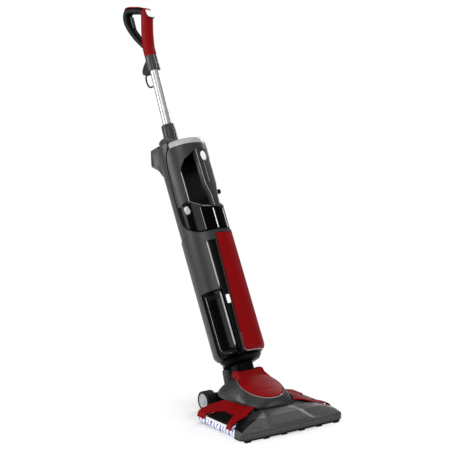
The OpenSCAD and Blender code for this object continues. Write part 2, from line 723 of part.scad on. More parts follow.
module cord_hook() color(black) at_pole() translate([0, 23, sleeve_p + 4]) {
    rod_x(1.5, -8, 8);
    translate([0, 0, -1]) rotate([0, 180, 0]) cylinder(r = 2, h = 26);
    translate([0, 0, -27]) rotate([100, 0, 0]) cylinder(r = 2, h = 8);
    translate([0, 0, -27]) sphere(2);
    rod_x(3, -2.5, 2.5);
}

// ---------- dirty-water unit ----------

// Round body in front of the seam, from z0 to z1, drawn in by i behind and below.
module unit_body(r, z0, z1, i = 0) intersection() {
    translate([0, 0, z0]) cylinder(r = r, h = z1 - z0, $fn = 96);
    along_x(-100, 100) unit_side(i);
}

// Front outline of the finger recess.
module recess_face(i = 0) polygon([[-75, recess_z0 + i], [75, recess_z0 + i], [75, recess_z1 - 46 - i],
    [61, recess_z1 - 41 - i], [54, recess_z1 - 22 - i], [25, recess_z1 - i], [-25, recess_z1 - i],
    [-54, recess_z1 - 22 - i], [-61, recess_z1 - 41 - i], [-75, recess_z1 - 46 - i]]);

module dirty_vessel() color(smoke) at_column() difference() {
    unit_body(unit_r, unit_z, vessel_top);
    unit_body(unit_r - tank_wall, unit_z + tank_wall, vessel_top + 1, tank_wall);
}

module unit_housing() color(dark) at_column() difference() {
    union() {
        unit_body(unit_r, vessel_top + eps, unit_top);
        // Lugs of the clips
        for (s = [-1, 1]) side(s) clip_at() for (x = [-12, 8.5]) {
            rod_x(3, x, x + 3.5);
            translate([x, 0, -2]) cube([3.5, 8, 5]);
        }
    }
    for (s = [-1, 1]) side(s) clip_at() rod_x(1.5 + run, -10.5, 10.5);
    difference() {
        unit_body(unit_r - skin, vessel_top + skin, unit_top + 1, skin);
        along_y(recess_y - skin, recess_y + skin + 1) recess_face(-skin);
    }
    along_y(-100, recess_y) recess_face();
    translate([0, 0, port_z]) rod_y(port_r - 2, 0, 30);
    // Opening down into the vessel
    translate([0, filter_y, vessel_top - 5]) cylinder(r = 12, h = 12);
}

module unit_spine() color(dark) at_column() difference() {
    intersection() {
        difference() {
            translate([0, 0, recess_z0 + eps]) cylinder(r = unit_r, h = recess_z1 - recess_z0 - 2 * eps, $fn = 96);
            translate([-60, -unit_r + spine_t, 0]) cube([120, 200, 900]);
        }
        translate([0, 0, 0]) rotate([90, 0, 0]) linear_extrude(100) polygon([[-13, recess_z0], [13, recess_z0],
            [spine_w / 2, recess_z0 + 34], [spine_w / 2, recess_z1], [-spine_w / 2, recess_z1],
            [-spine_w / 2, recess_z0 + 34]]);
    }
    button_at(8 + 2) cylinder(r = 10 + slip, h = 12);
}

// Oval of the release button, set i into the spine's front.
module button_at(i) translate([0, i - unit_r, button_z]) rotate([90, 0, 0]) scale([1, 1.4, 1]) children();

module release_button() color(white) at_column() button_at(8) cylinder(r = 10, h = 8.5);

// Pin of a clip that holds the vessel to its housing; X along the pin, +Y into the column.
module clip_at() rotate([0, 0, -10]) translate([unit_r + 2.5, 0, vessel_top + 15]) rotate([-12, 0, 0])
    rotate([0, 0, 90]) children();

module clip(s) color(silver) at_column() side(s) clip_at() {
    translate([-8, -2, -24]) cube([16, 4, 24]);
    rod_x(2, -8, 8);
    rod_x(1.5, -10, 10);
}
module left_clip() clip(-1);
module right_clip() clip(1);

module unit_cap() color(silver) at_column() difference() {
    unit_body(unit_r - 0.5, unit_top + eps, cap_top);
    unit_body(unit_r - 0.5 - skin, unit_top - 1, cap_top - skin, skin);
}

module unit_filter() color(white) at_column() translate([0, filter_y, vessel_top - 34]) difference() {
    cylinder(r = 20, h = 34);
    translate([0, 0, -1]) cylinder(r = 16, h = 36);
}

// ---------- side tanks ----------

module tank(s) color(smoke) at_column() side(s) difference() {
    intersection() {
        barrel(col_r - 0.7, col_base, col_top, foot_r);
        tank_block(0);
    }
    intersection() {
        barrel(col_r - 0.7 - tank_wall, col_base + tank_wall, col_top, foot_r);
        tank_block(-tank_wall);
    }
}
module left_tank() tank(-1);
module right_tank() tank(1);

// Place of a tank's latch, in front of the tank.
module latch_at() rotate([0, 0, 42]) translate([0, -core_r, panel_z - 32]) children();

module tank_latch(s) color(white) at_column() side(s) latch_at() translate([-5, -3, -12])
    cube([10, 6, 24]);
module left_tank_latch() tank_latch(-1);
module right_tank_latch() tank_latch(1);

base_plate();
sole_plate();
nose_cover();
front_squeegee();
rear_squeegee();
left_wing();
right_wing();
left_window();
right_window();
left_wiper();
right_wiper();
shoe_surround();
shoe_cover();
pivot_pin();
axle_bracket();
wheel_axle();
left_roller_motor();
right_roller_motor();
suction_hose();
left_roller_core();
left_roller_bristles();
right_roller_core();
right_roller_bristles();
left_wheel_hub();
left_wheel_tyre();
right_wheel_hub();
right_wheel_tyre();
neck_yoke();
swivel_ring();
core_frame();
rear_shell();
left_panel();
right_panel();
front_cover();
suction_pipe();
suction_motor();
fan_impeller();
water_pump();
control_board();
pole_socket();
pole();
handle_sleeve();
handle_grip();
handle_loop();
cord_hook();
power_button();
spray_trigger();
dirty_vessel();
unit_housing();
unit_spine();
unit_cap();
unit_filter();
left_clip();
right_clip();
release_button();
left_tank();
right_tank();
left_tank_latch();
right_tank_latch();
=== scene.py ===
# An upright wet and dry floor scrubber in red, graphite and black plastic. A flat head with side
# rollers stands on the floor, and a round column leans back from it up to a looped handle.
import bmesh
import bpy
from mathutils import Matrix
import numpy as np


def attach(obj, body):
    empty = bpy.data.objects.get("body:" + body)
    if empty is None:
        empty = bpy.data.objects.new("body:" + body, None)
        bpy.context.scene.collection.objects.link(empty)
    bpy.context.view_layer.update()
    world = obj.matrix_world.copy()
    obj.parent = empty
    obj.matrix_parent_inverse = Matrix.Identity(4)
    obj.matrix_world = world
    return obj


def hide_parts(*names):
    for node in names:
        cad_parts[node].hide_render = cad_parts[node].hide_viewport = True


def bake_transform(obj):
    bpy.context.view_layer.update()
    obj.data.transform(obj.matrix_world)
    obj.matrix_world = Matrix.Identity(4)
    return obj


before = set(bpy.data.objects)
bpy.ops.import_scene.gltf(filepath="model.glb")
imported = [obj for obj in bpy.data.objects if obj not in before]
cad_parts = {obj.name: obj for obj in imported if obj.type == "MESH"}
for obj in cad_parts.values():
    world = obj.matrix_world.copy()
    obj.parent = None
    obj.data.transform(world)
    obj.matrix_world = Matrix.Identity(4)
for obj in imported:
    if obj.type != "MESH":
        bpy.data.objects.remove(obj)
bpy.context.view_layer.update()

# ---- Studio ----
# A white seamless sweep under large soft boxes, as product pictures are lit. The camera stands low
# and to the left of the machine, with a long lens.
TARGET = np.array((0.0, 0.2041, 0.4892))
AZIMUTH, PITCH, DISTANCE = np.radians(-35.1), np.radians(9.36), 3.5
FOCAL, SENSOR = 106.0, 36.0
LAMPS_AT = np.array((0.0, 0.12, 0.45))
scene = bpy.context.scene
scene.view_settings.view_transform = "Standard"


def aimed(obj, place, at):
    """Stand an object at a place, with its -Z axis looking at a point."""
    obj.location = place
    back = np.asarray(place, float) - at
    z = back / np.linalg.norm(back)
    x = np.cross((0, 0, 1), z)
    x /= np.linalg.norm(x)
    turn = np.eye(4)
    turn[:3, :3] = np.stack([x, np.cross(z, x), z], axis=1)
    obj.rotation_euler = Matrix(turn.tolist()).to_euler()


lens = bpy.data.cameras.new("camera")
lens.lens, lens.sensor_width, lens.clip_end = FOCAL, SENSOR, 50.0
camera = bpy.data.objects.new("camera", lens)
scene.collection.objects.link(camera)
scene.camera = camera
towards = np.array((np.sin(AZIMUTH) * np.cos(PITCH), -np.cos(AZIMUTH) * np.cos(PITCH), np.sin(PITCH)))
aimed(camera, TARGET + DISTANCE * towards, TARGET)

# Soft boxes: place and size in metres, power in watts
for name, place, size, power in (("key", (-2.6, -1.6, 2.3), 2.2, 56.0),
                                 ("top", (0.2, -0.2, 3.2), 2.6, 30.0),
                                 ("front", (1.6, -3.2, 1.1), 1.4, 26.0),
                                 ("edge", (2.4, 1.4, 1.6), 1.0, 26.0),
                                 ("back_left", (-2.4, 1.6, 1.2), 1.2, 38.0)):
    box = bpy.data.lights.new(name, "AREA")
    box.shape, box.size, box.energy = "SQUARE", size, power
    lamp = bpy.data.objects.new(name, box)
    scene.collection.objects.link(lamp)
    aimed(lamp, place, LAMPS_AT)


def srgb(code):
    """Linear colour of an sRGB hex code: c / 12.92 near black, ((c + 0.055) / 1.055) ** 2.4 above."""
    c = np.array([int(code[i:i + 2], 16) for i in (1, 3, 5)]) / 255
    return (*np.where(c <= 0.04045, c / 12.92, ((c + 0.055) / 1.055) ** 2.4), 1.0)


def add(tree, kind, inputs=(), **settings):
    """Add a shader node with its settings. An input is given a value, or linked to a socket or to
    the first output of a node."""
    made = tree.nodes.new("ShaderNode" + kind)
    for key, value in settings.items():
        setattr(made, key, value)
    for key, value in dict(inputs).items():
        if isinstance(value, bpy.types.Node):
            value = value.outputs[0]
        if isinstance(value, bpy.types.NodeSocket):
            tree.links.new(value, made.inputs[key])
        else:
            made.inputs[key].default_value = value
    return made


def view_rays(tree):
    """The light path, and 1 for a ray that the camera sees straight or through clear plastic: the
    larger of its camera and transmission flags."""
    ray = add(tree, "LightPath")
    flags = {0: ray.outputs["Is Camera Ray"], 1: ray.outputs["Is Transmission Ray"]}
    return ray, add(tree, "Math", flags, operation="MAXIMUM")


WHITE = srgb("#ffffff")
world = bpy.data.worlds.new("studio")
scene.world = world
world.use_nodes = True
tree = world.node_tree
tree.nodes.clear()
ray, seen = view_rays(tree)
soft = add(tree, "Background", {"Color": WHITE, "Strength": 0.42})
clear = add(tree, "Background", {"Color": WHITE, "Strength": 1.0})
dim = add(tree, "Background", {"Color": WHITE, "Strength": 0.14})
room = add(tree, "MixShader", {0: ray.outputs["Is Glossy Ray"], 1: soft, 2: dim})
both = add(tree, "MixShader", {0: seen, 1: room, 2: clear})
add(tree, "OutputWorld", {"Surface": both})


def new_material(name):
    """A material and its node tree, emptied."""
    made = bpy.data.materials.new(name)
    made.use_nodes = True
    made.node_tree.nodes.clear()
    return made, made.node_tree


# The floor fades from a shaded white paper under the machine to plain white 0.28 m from its middle.
paper, tree = new_material("white_paper_sweep")
place = add(tree, "TexCoord")
spot = add(tree, "Mapping", {"Vector": place.outputs["Object"], "Location": (0.0, -0.1, 0.0)})
far = add(tree, "VectorMath", {0: spot}, operation="LENGTH")
fade = add(tree, "MapRange", {0: far.outputs["Value"], 1: 0.12, 2: 0.28},
           interpolation_type="SMOOTHSTEP")
_, seen = view_rays(tree)
bare = add(tree, "Math", {0: seen, 1: fade}, operation="MULTIPLY")
matt = add(tree, "BsdfDiffuse", {"Color": srgb("#f4f4f4")})
bright = add(tree, "Emission", {"Color": WHITE, "Strength": 1.0})
both = add(tree, "MixShader", {0: bare, 1: matt, 2: bright})
add(tree, "OutputMaterial", {"Surface": both})
FLOOR = 9.0
floor_mesh = bpy.data.meshes.new("floor")
floor_corners = [(x * FLOOR, y * FLOOR, 0) for x, y in ((-1, -1), (1, -1), (1, 1), (-1, 1))]
floor_mesh.from_pydata(floor_corners, [], [(0, 1, 2, 3)])
floor_mesh.materials.append(paper)
floor = bpy.data.objects.new("floor", floor_mesh)
scene.collection.objects.link(floor)


def moulded(name, colour, roughness, grain, grain_mm, coat=0.0, tone=0.12, level=0.5):
    """Injection-moulded plastic: an even colour that varies a little over 30 mm, a fine tool
    grain as bump, and smudges over 18 mm that change its roughness."""
    made, tree = new_material(name)
    place = add(tree, "TexCoord")
    broad = add(tree, "TexNoise", {"Vector": place.outputs["Object"], "Scale": 33.0, "Detail": 3.0})
    smudge = add(tree, "TexNoise", {"Vector": place.outputs["Object"], "Scale": 55.0,
                                    "Detail": 5.0, "Roughness": 0.65})
    fine = add(tree, "TexNoise", {"Vector": place.outputs["Object"],
                                  "Scale": 1000.0 / grain_mm, "Detail": 2.0})
    low, high = np.array(srgb(colour)) * (1 - tone), np.minimum(np.array(srgb(colour)) * (1 + tone), 1)
    low[3] = high[3] = 1.0
    tint = add(tree, "Mix", {0: broad.outputs["Fac"], 6: tuple(low), 7: tuple(high)}, data_type="RGBA")
    dull = add(tree, "MapRange", {0: smudge.outputs["Fac"], 1: 0.3, 2: 0.7,
                                  3: roughness * 0.85, 4: min(roughness * 1.2, 1.0)})
    bump = add(tree, "Bump", {"Strength": grain, "Distance": 0.0002, "Height": fine.outputs["Fac"]})
    skin = add(tree, "BsdfPrincipled", {
        "Base Color": tint.outputs[2], "Roughness": dull, "Normal": bump,
        "IOR": 1.5, "Coat Weight": coat, "Coat Roughness": 0.08, "Specular IOR Level": level})
    add(tree, "OutputMaterial", {"Surface": skin})
    return made


def bare_metal(name, colour, metallic, stretch, scale, detail, dullness, strength, depth):
    """Metal whose roughness and bump follow one noise pattern, stretched along the way it was
    worked; stretch and scale are per metre."""
    made, tree = new_material(name)
    place = add(tree, "TexCoord")
    along = add(tree, "Mapping", {"Vector": place.outputs["Object"], "Scale": stretch})
    worked = add(tree, "TexNoise", {"Vector": along, "Scale": scale, "Detail": detail})
    dull = add(tree, "MapRange", {0: worked.outputs["Fac"], 3: dullness[0], 4: dullness[1]})
    bump = add(tree, "Bump", {"Strength": strength, "Distance": depth,
                              "Height": worked.outputs["Fac"]})
    skin = add(tree, "BsdfPrincipled", {"Base Color": srgb(colour), "Metallic": metallic,
                                        "Roughness": dull, "Normal": bump})
    add(tree, "OutputMaterial", {"Surface": skin})
    return made


def finished(material, *nodes):
    """Give CAD nodes their finished material in place of their stand-in."""
    for node in nodes:
        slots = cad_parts[node].data.materials
        slots.clear()
        slots.append(material)


# ABS from a lightly polished mould: nearly black, with a faint narrow sheen.
# It also stands as painted shade in hollows, slots and grooves that lie in shade.
BLACK_ABS_AND_SHADE = moulded("black_abs_and_painted_shade", "#030304", 0.38, 0.1, 1.2, coat=0.02, tone=0.2,
                    level=0.08)
# Moulded rubber: matt, with a wide dull highlight.
# Round the shoe's foot it stands as painted shade.
TREAD_RUBBER_AND_SHADE = moulded("black_rubber_and_painted_shade", "#0c0c0d", 0.62, 0.5, 1.0, tone=0.25,
                       level=0.3)
# Rolling leaves fine lines along the sheet, drawn 0.8 mm apart so that they show.
ROLLED_STEEL = bare_metal("rolled_stainless_steel", "#b4b6ba", 1.0, (1200.0, 20.0, 20.0), 1.0, 3.0,
                          (0.22, 0.42), 0.15, 0.0001)
finished(BLACK_ABS_AND_SHADE, "base_plate", "axle_bracket", "pivot_pin")
finished(TREAD_RUBBER_AND_SHADE, "front_squeegee", "rear_squeegee")
finished(ROLLED_STEEL, "sole_plate", "wheel_axle", "left_roller_motor", "right_roller_motor")

# ---- Nose cover ----
# A graphite ABS moulding with an upright rim. Its top climbs back to the shoe, with a low hump in
# the middle that ends in an arc above the rim and in a soft valley on either side.
# Fine mould grain gives a dark grey satin. The nose gets a paler, duller copy of the same plastic:
# painted light for its top, which faces up to the lamps.
GRAPHITE_ABS = moulded("graphite_abs", "#2a2b2c", 0.38, 0.25, 1.0, coat=0.05, tone=0.1,
                       level=0.28)
NOSE_GRAPHITE_LIT = moulded("nose_graphite_painted_lighter", "#38393a", 0.42, 0.25, 1.0, coat=0.04,
                         tone=0.1, level=0.3)
NOSE_FRONT, NOSE_FLOOR = -99.0, 8.0


def on_head(p):
    """Head frame, in metres; it is the machine's own frame, and every shape is in millimetres."""
    return np.asarray(p, float) / 1000


def build(name, grids, to_frame, material, body, replaces=(), wall=0.0, soft=0.0,
          segments=2, sharp=42.0):
    """Join grids of points into one mesh. A grid is (points, closed in u, closed in v), and its
    faces point along du x dv. A wall thickens it inwards, and soft rounds its edges, both in mm."""
    points, faces, base = [], [], 0
    for grid in grids:
        p, close_u, close_v = grid if isinstance(grid, tuple) else (grid, False, False)
        nu, nv = p.shape[:2]
        i = np.arange(nu if close_u else nu - 1)[:, None]
        j = np.arange(nv if close_v else nv - 1)[None, :]
        k, m = (i + 1) % nu, (j + 1) % nv
        quads = np.stack([i * nv + j, k * nv + j, k * nv + m, i * nv + m], axis=-1)
        points.append(to_frame(p).reshape(-1, 3))
        faces.append(quads.reshape(-1, 4) + base)
        base += nu * nv
    mesh = bpy.data.meshes.new(name)
    mesh.from_pydata(np.concatenate(points), [], np.concatenate(faces).tolist())
    work = bmesh.new()
    work.from_mesh(mesh)
    bmesh.ops.remove_doubles(work, verts=work.verts, dist=4e-5)
    bmesh.ops.dissolve_degenerate(work, edges=work.edges, dist=1e-6)
    if all(edge.is_manifold for edge in work.edges):
        bmesh.ops.recalc_face_normals(work, faces=work.faces)
    work.to_mesh(mesh)
    work.free()
    mesh.shade_smooth()
    mesh.set_sharp_from_angle(angle=np.radians(sharp))
    mesh.materials.append(material)
    obj = bpy.data.objects.new(name, mesh)
    scene.collection.objects.link(obj)
    if wall:
        thick = obj.modifiers.new("wall", "SOLIDIFY")
        thick.thickness, thick.offset = wall / 1000, -1.0
    if soft:
        edge = obj.modifiers.new("soft_edges", "BEVEL")
        edge.width, edge.segments, edge.limit_method = soft / 1000, segments, "ANGLE"
        edge.angle_limit, edge.harden_normals = np.radians(sharp), True
    if body:
        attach(obj, body)
    if replaces:
        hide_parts(*replaces)
    return obj


def level(ring, z):
    """A flat ring of (x, y) lifted to a height."""
    return np.column_stack([ring, np.full(len(ring), float(z))])


def line(start, end, n):
    """n points on a straight line in the plane."""
    return np.stack([np.linspace(start[0], end[0], n), np.linspace(start[1], end[1], n)], axis=1)


def nose_height(x, y):
    """The lower of a side profile and an end taper, less a 3.2 mm valley beside the hump and a
    1.6 mm step in front of its arc."""
    side = np.interp(y, (NOSE_FRONT, -95, -88, -60, -30, 0), (21, 24.5, 28.5, 43.5, 51.5, 54.5))
    ends = np.interp(np.abs(x), (60, 84, 125, 150, 157, 160), (60, 54.6, 43.5, 34.5, 27, 21))
    low = 0.5 * (side + ends - np.sqrt((side - ends) ** 2 + 8.0))
    wide = np.interp(y, (-92, -60, -30), (70, 52, 36))
    flank = 1 / (1 + np.exp((np.abs(x) - wide) / 2.6))
    past = np.exp(-np.maximum(np.abs(x) - wide - 4, 0) / 24)
    arc = 1 / (1 + np.exp(-(y + 91 - 2.0 * (np.abs(x) / 60) ** 2) / 1.2))
    end_dip = np.exp(-np.maximum(np.abs(x) - 110, 0) / 12)
    return low - 3.2 * (1 - flank) * past * arc - 1.6 * (1 - arc) * end_dip


turn = np.linspace(0, np.pi / 2, 9)
corner = np.stack([148 + 12 * np.sin(turn), -87 - 12 * np.cos(turn)], axis=1)
x = np.linspace(158, 82, 24)
under_wing = np.stack([x, np.interp(x, (82, 150, 158), (-33, -55, -61))], axis=1)
half = np.concatenate([line((0, NOSE_FRONT), (146, NOSE_FRONT), 40), corner,
                       line((160, -84), (160, -64), 6), under_wing, line((79, -29), (69, -1), 8),
                       line((65, 0), (0, 0), 14)])
outline = np.concatenate([half, (half * (-1, 1))[-2:0:-1]])
middle = np.stack([np.clip(outline[:, 0], -112, 112), np.full(len(outline), -50.0)], axis=1)
insets = np.concatenate([(0.0, 0.006, 0.018, 0.04), np.linspace(0.07, 1.0, 44)])
drops = np.concatenate([(2.2, 1.2, 0.35), np.zeros(45)])
rings = [level(outline, NOSE_FLOOR)]
for inset, drop in zip(insets, drops):
    ring = outline + (middle - outline) * inset
    rings.append(np.column_stack([ring, nose_height(*ring.T) - drop]))
build("nose_shell", [(np.swapaxes(rings, 0, 1), True, False)], on_head, NOSE_GRAPHITE_LIT, "head",
      replaces=("nose_cover",), wall=2.2)
# Black patch on the nose in front of the left wing: painted shade for the shadowed hollow between nose
# and wing, drawn on the left only
x = np.linspace(58, 157, 50)[:, None]
low = np.interp(x, (58, 94, 131, 157), (-39.5, -63, -77.5, -91))
y = low + (np.interp(x, (58, 82, 150, 157), (-10, -33, -55, -60.5)) - low) * np.linspace(0, 1, 14)
shade_patch = np.stack([np.broadcast_to(-x, y.shape), y, nose_height(x, y) + 0.5], axis=-1)
build("left_nose_painted_shade", [shade_patch[::-1]], on_head, BLACK_ABS_AND_SHADE, "head", wall=0.8)

# ---- Wings ----
# A red gloss ABS wing lies over each side roller. It falls from the shoe to the roller and reaches
# over it in two arms, with a smoked window in a black frame and a wiper strip between them.
# ABS from a polished mould: a deep even red with a soft gloss.
RED_ABS = moulded("red_gloss_abs", "#780306", 0.46, 0.06, 2.0, level=0.06)
# Clear plastic tinted so dark that it reads as black, with sharp reflections.
SMOKED_PC = moulded("smoked_polycarbonate", "#020203", 0.16, 0.03, 3.0, coat=0.04,
                    tone=0.3, level=0.1)
# Undyed rubber: pale and matt.
NATURAL_RUBBER = moulded("pale_wiper_rubber", "#dcdad6", 0.55, 0.4, 1.5, tone=0.15)
# Section of a wing from the shoe to its outer edge, as (x, z), then where its arms part and end
SECTION = np.array(((54, 58.2), (84, 57), (100, 52.2), (118, 46.6), (136, 43.2), (149, 40.2),
                    (156.5, 36), (159.6, 31), (161.4, 22.2)))
ARMS_FROM, BACK = 123.5, 99.0
SIDES = ((-1, "left"), (1, "right"))
walk = np.concatenate([[0], np.cumsum(np.hypot(*np.diff(SECTION, axis=0).T))])


def wing_grid(side, walks, lows, highs, n):
    """Section carried along Y: at each step along the section, y runs from low to high, and the
    ridge sinks by up to 4 mm towards the back."""
    x, z = np.interp(walks, walk, SECTION[:, 0]), np.interp(walks, walk, SECTION[:, 1])
    y = lows[:, None] + (highs - lows)[:, None] * np.linspace(0, 1, n)
    sink = np.interp(y, (40, 95), (0, 4)) * np.clip((120 - x) / 36, 0, 1)[:, None]
    grid = np.stack([np.broadcast_to(side * x[:, None], y.shape), y, z[:, None] - sink], axis=-1)
    return grid if side > 0 else grid[:, ::-1]


def capped(rings):
    """A closed body from rings that lie one beyond the other: points (ring, place)."""
    p = np.swapaxes(np.asarray(rings, float), 0, 1)
    low = np.stack([np.broadcast_to(p[:, 0].mean(axis=0), p[:, 0].shape), p[:, 0]], axis=1)
    high = np.stack([p[:, -1], np.broadcast_to(p[:, -1].mean(axis=0), p[:, -1].shape)], axis=1)
    return [(p, True, False), (low, True, False), (high, True, False)]


def mirrored(grids, side):
    """The grids themselves on +X, or their mirror images on -X with the faces still outwards."""
    return grids if side > 0 else [((p * (-1, 1, 1))[::-1], *shut) for p, *shut in grids]


def upright(outline, places):
    """Copies of an outline in Y and Z at several places along X."""
    return [np.column_stack([np.full(len(outline), x), outline]) for x in places]


def wing_front(x):
    """Front edge of a wing, nearer the front towards its outer side."""
    return np.interp(x, (53, 103, 149, 162), (-11, -40, -47, -49))


inner = np.linspace(np.interp(60, SECTION[:, 0], walk), np.interp(ARMS_FROM, SECTION[:, 0], walk), 52)
outer = np.linspace(inner[-1], walk[-1], 30)
x_in, x_out = np.interp(inner, walk, SECTION[:, 0]), np.interp(outer, walk, SECTION[:, 0])
# Beside the shoe the wing keeps 3 mm off its foot, and ends in a tip in front of it
foot = 70.5 - 102 * (1 - np.clip(x_in / 81, 0, 1) ** 3.226) ** 0.31
f_in = wing_front(x_in)
b_in = np.maximum(np.where(x_in < 82, foot, np.minimum(91 + (x_in - 82) * 0.25, BACK)), f_in + 0.05)
edges = [f_in, np.clip(np.interp(x_in, (66, ARMS_FROM), (-4, -10)), f_in, b_in),
         np.clip(np.interp(x_in, (66, ARMS_FROM), (30, 34)), f_in, b_in), b_in]
front_arm = wing_front(x_out), np.interp(x_out, (ARMS_FROM, 150, 161.5), (-10, -27, -31))
back_arm = np.interp(x_out, (ARMS_FROM, 150, 161.5), (34, 62, 68.5)), np.full(len(x_out), BACK)
# Black frame round the window, a flat bar mitred at its corners
ring = np.array(((124.2, -9.0), (152.5, -25.5), (152.5, 61.5), (124.2, 33.0)))
inside = ring.mean(axis=0) + (ring - ring.mean(axis=0)) * (0.72, 0.86)
bars = np.stack([np.column_stack([p, np.interp(p[:, 0], (122, 153), (44.6, 34.0)) + up])
                 for p, up in ((ring, -0.4), (ring, 0.9), (inside, 0.9), (inside, -0.4))], axis=1)
# Black clamp along the wiper's upper half; the rubber falls at 52 degrees from (153, 33.8)
run, up, start = np.array((0.611, -0.792)), np.array((0.792, 0.611)), np.array((153.0, 33.8))
clamp = np.array([start + run * s + up * h
                  for s, h in ((-0.6, 0.05), (5.4, 0.05), (5.4, 0.9), (-0.6, 1.0))])
for side, word in SIDES:
    grids = [wing_grid(side, inner, edges[k], edges[k + 1], 12) for k in range(3)]
    grids += [wing_grid(side, outer, *arm, 12) for arm in (front_arm, back_arm)]
    build(word + "_wing_shell", grids, on_head, RED_ABS, "head", replaces=(word + "_wing",), wall=2.8,
          soft=1.1, segments=3, sharp=50)
    finished(SMOKED_PC, word + "_window")
    finished(NATURAL_RUBBER, word + "_wiper")
    build(word + "_window_frame", mirrored([(bars, True, True)], side), on_head, BLACK_ABS_AND_SHADE, "head",
          soft=0.3)
    rings = [np.column_stack([side * clamp[:, 0], np.full(4, y), clamp[:, 1]]) for y in (-25.0, 61.5)]
    build(word + "_wiper_clamp", capped(rings), on_head, BLACK_ABS_AND_SHADE, "head")

# ---- Shoe ----
# The graphite ABS shoe stands in the middle of the head and slopes forward. A red gloss dome fills
# its top, with a pale trim line round it, and two ears at its back hold the neck's pin.
# Satin lacquer on the trim: a pale grey line with a fine highlight. Along edges that catch the light it
# stands as painted highlight.
PALE_TRIM_AND_HIGHLIGHT = moulded("pale_trim_and_painted_highlight", "#9b9d9f", 0.3, 0.1, 1.5, coat=0.3)
RIM_Y, ROUND = 44.0, 0.93
DOME_A, DOME_B, DOME_BACK = 57.0, 61.8, 90.0


def oval(a, b, y0, power, turn):
    """Superellipse: x = a |cos|^p sign(cos), y = y0 + b |sin|^p sign(sin)."""
    c, s = np.cos(turn), np.sin(turn)
    return np.stack([a * np.sign(c) * np.abs(c) ** power, y0 + b * np.sign(s) * np.abs(s) ** power],
                    axis=-1)


def open_oval(a, b, y0=RIM_Y, power=ROUND, n=180):
    """Superellipse with a gap at its back, from x = -33 round the front to x = 29."""
    left, right = np.arccos((33 / a) ** (1 / power)), np.arccos((29 / a) ** (1 / power))
    return oval(a, b, y0, power, np.linspace(-np.pi - left, right, n))


def slope_z(y):
    """Height of the 15 degree slope that the dome sits on."""
    return 77.7 + 0.2694 * y


def unit(v):
    """Vectors scaled to a length of 1."""
    return v / np.linalg.norm(v, axis=-1, keepdims=True)


def bead(path, size, across, out, n=8):
    """Bar along a path with an oval section: path + size (across cos a + out sin a)."""
    turn = np.linspace(0, 2 * np.pi, n, endpoint=False)[:, None, None]
    return path[None] + np.reshape(size, (1, -1, 1)) * (np.cos(turn) * np.asarray(across, float) +
                                                        np.sin(turn) * np.asarray(out, float))


rim_line = slope_z(open_oval(58.4, 63.2)[:, 1])
wall = []
for s in np.linspace(0, 1, 17):
    ring = open_oval(78 - 19.6 * s ** 2.2, 98.5 - 35.3 * s ** 1.9, 70.5 - 26.5 * s ** 1.9,
                     0.62 + 0.31 * s)
    wall.append(np.column_stack([ring, 52 + (rim_line - 52) * s]))
# The lip turns in over the top and down to the dome.
for a, b, down in ((58.0, 62.8, -0.2), (57.6, 62.4, 0.8), (57.5, 62.3, 3.0)):
    ring = open_oval(a, b)
    wall.append(np.column_stack([ring, slope_z(ring[:, 1]) - down]))
build("shoe_shell", [np.swapaxes(wall, 0, 1)], on_head, GRAPHITE_ABS, "head",
      replaces=("shoe_surround",), wall=2.2, soft=0.5)
ring = open_oval(57.9, 62.7)
trim = bead(np.column_stack([ring, slope_z(ring[:, 1]) + 0.4]), 0.8, (0, 1, 0), (0, 0, 1), 10)
build("shoe_trim", [(np.swapaxes(trim, 0, 1), False, True)], on_head, PALE_TRIM_AND_HIGHLIGHT, "head")


def dome_z(x, y):
    """Low crown on the slope: 7.8 mm times (1 - r^2.6)^0.55 in the oval, with a 1.3 mm step across,
    and a 45 degree ramp that rises from y = 75 to the edge over the neck's barrel."""
    r = np.clip(np.sqrt((x / DOME_A) ** 2 + ((y - RIM_Y) / DOME_B) ** 2), 0, 1)
    step = 1.3 / (1 + np.exp(-(y - 14 - 0.010 * x ** 2) / 0.8))
    low = slope_z(y) + 0.1 + 7.8 * (1 - r ** 2.6) ** 0.55 + step * (1 - r ** 4)
    ramp = 105.6 + 1.03 * (y - 75.0)
    return 0.5 * (low + ramp + np.sqrt((low - ramp) ** 2 + 14.0)) * (y > 40) + low * (y <= 40)


y = RIM_Y - DOME_B * np.cos(np.linspace(0, np.arccos((RIM_Y - DOME_BACK) / DOME_B), 80))
half_width = DOME_A * np.sqrt(1 - ((y - RIM_Y) / DOME_B) ** 2)
half_width = half_width * np.interp(y, (64, DOME_BACK), (1, 0.86))
x = np.sin(np.linspace(-np.pi / 2, np.pi / 2, 61))[:, None] * half_width
y = np.broadcast_to(y, x.shape)
crown = np.stack([x, y, np.minimum(dome_z(x, y), 121)], axis=-1)
# The edge turns down behind, and clears the barrel of the neck
edge = crown[:, -1] * (1, 1, 0)
drop = np.stack([crown[:, -1], edge + (0, 0, 117.8), edge + (0, -4.6, 112.6), edge + (0, -5.6, 92)],
                axis=1)
build("shoe_dome", [crown, drop], on_head, RED_ABS, "head", replaces=("shoe_cover",), wall=1.6,
      soft=0.7)
# Ears: an outline in Y and Z round the pin, 12.4 mm thick, that carries on the dome's ramp
ear = np.array(((116, 84), (116, 109), (112, 115.5), (106, 119.6), (99, 121), (90.2, 121),
                (75.4, 105.8), (72, 100), (72, 84)), float)
for side, word in SIDES:
    build(word + "_ear", mirrored(capped(upright(ear, (29.2, 41.6))), side), on_head, RED_ABS, "head",
          soft=1.6, segments=3)

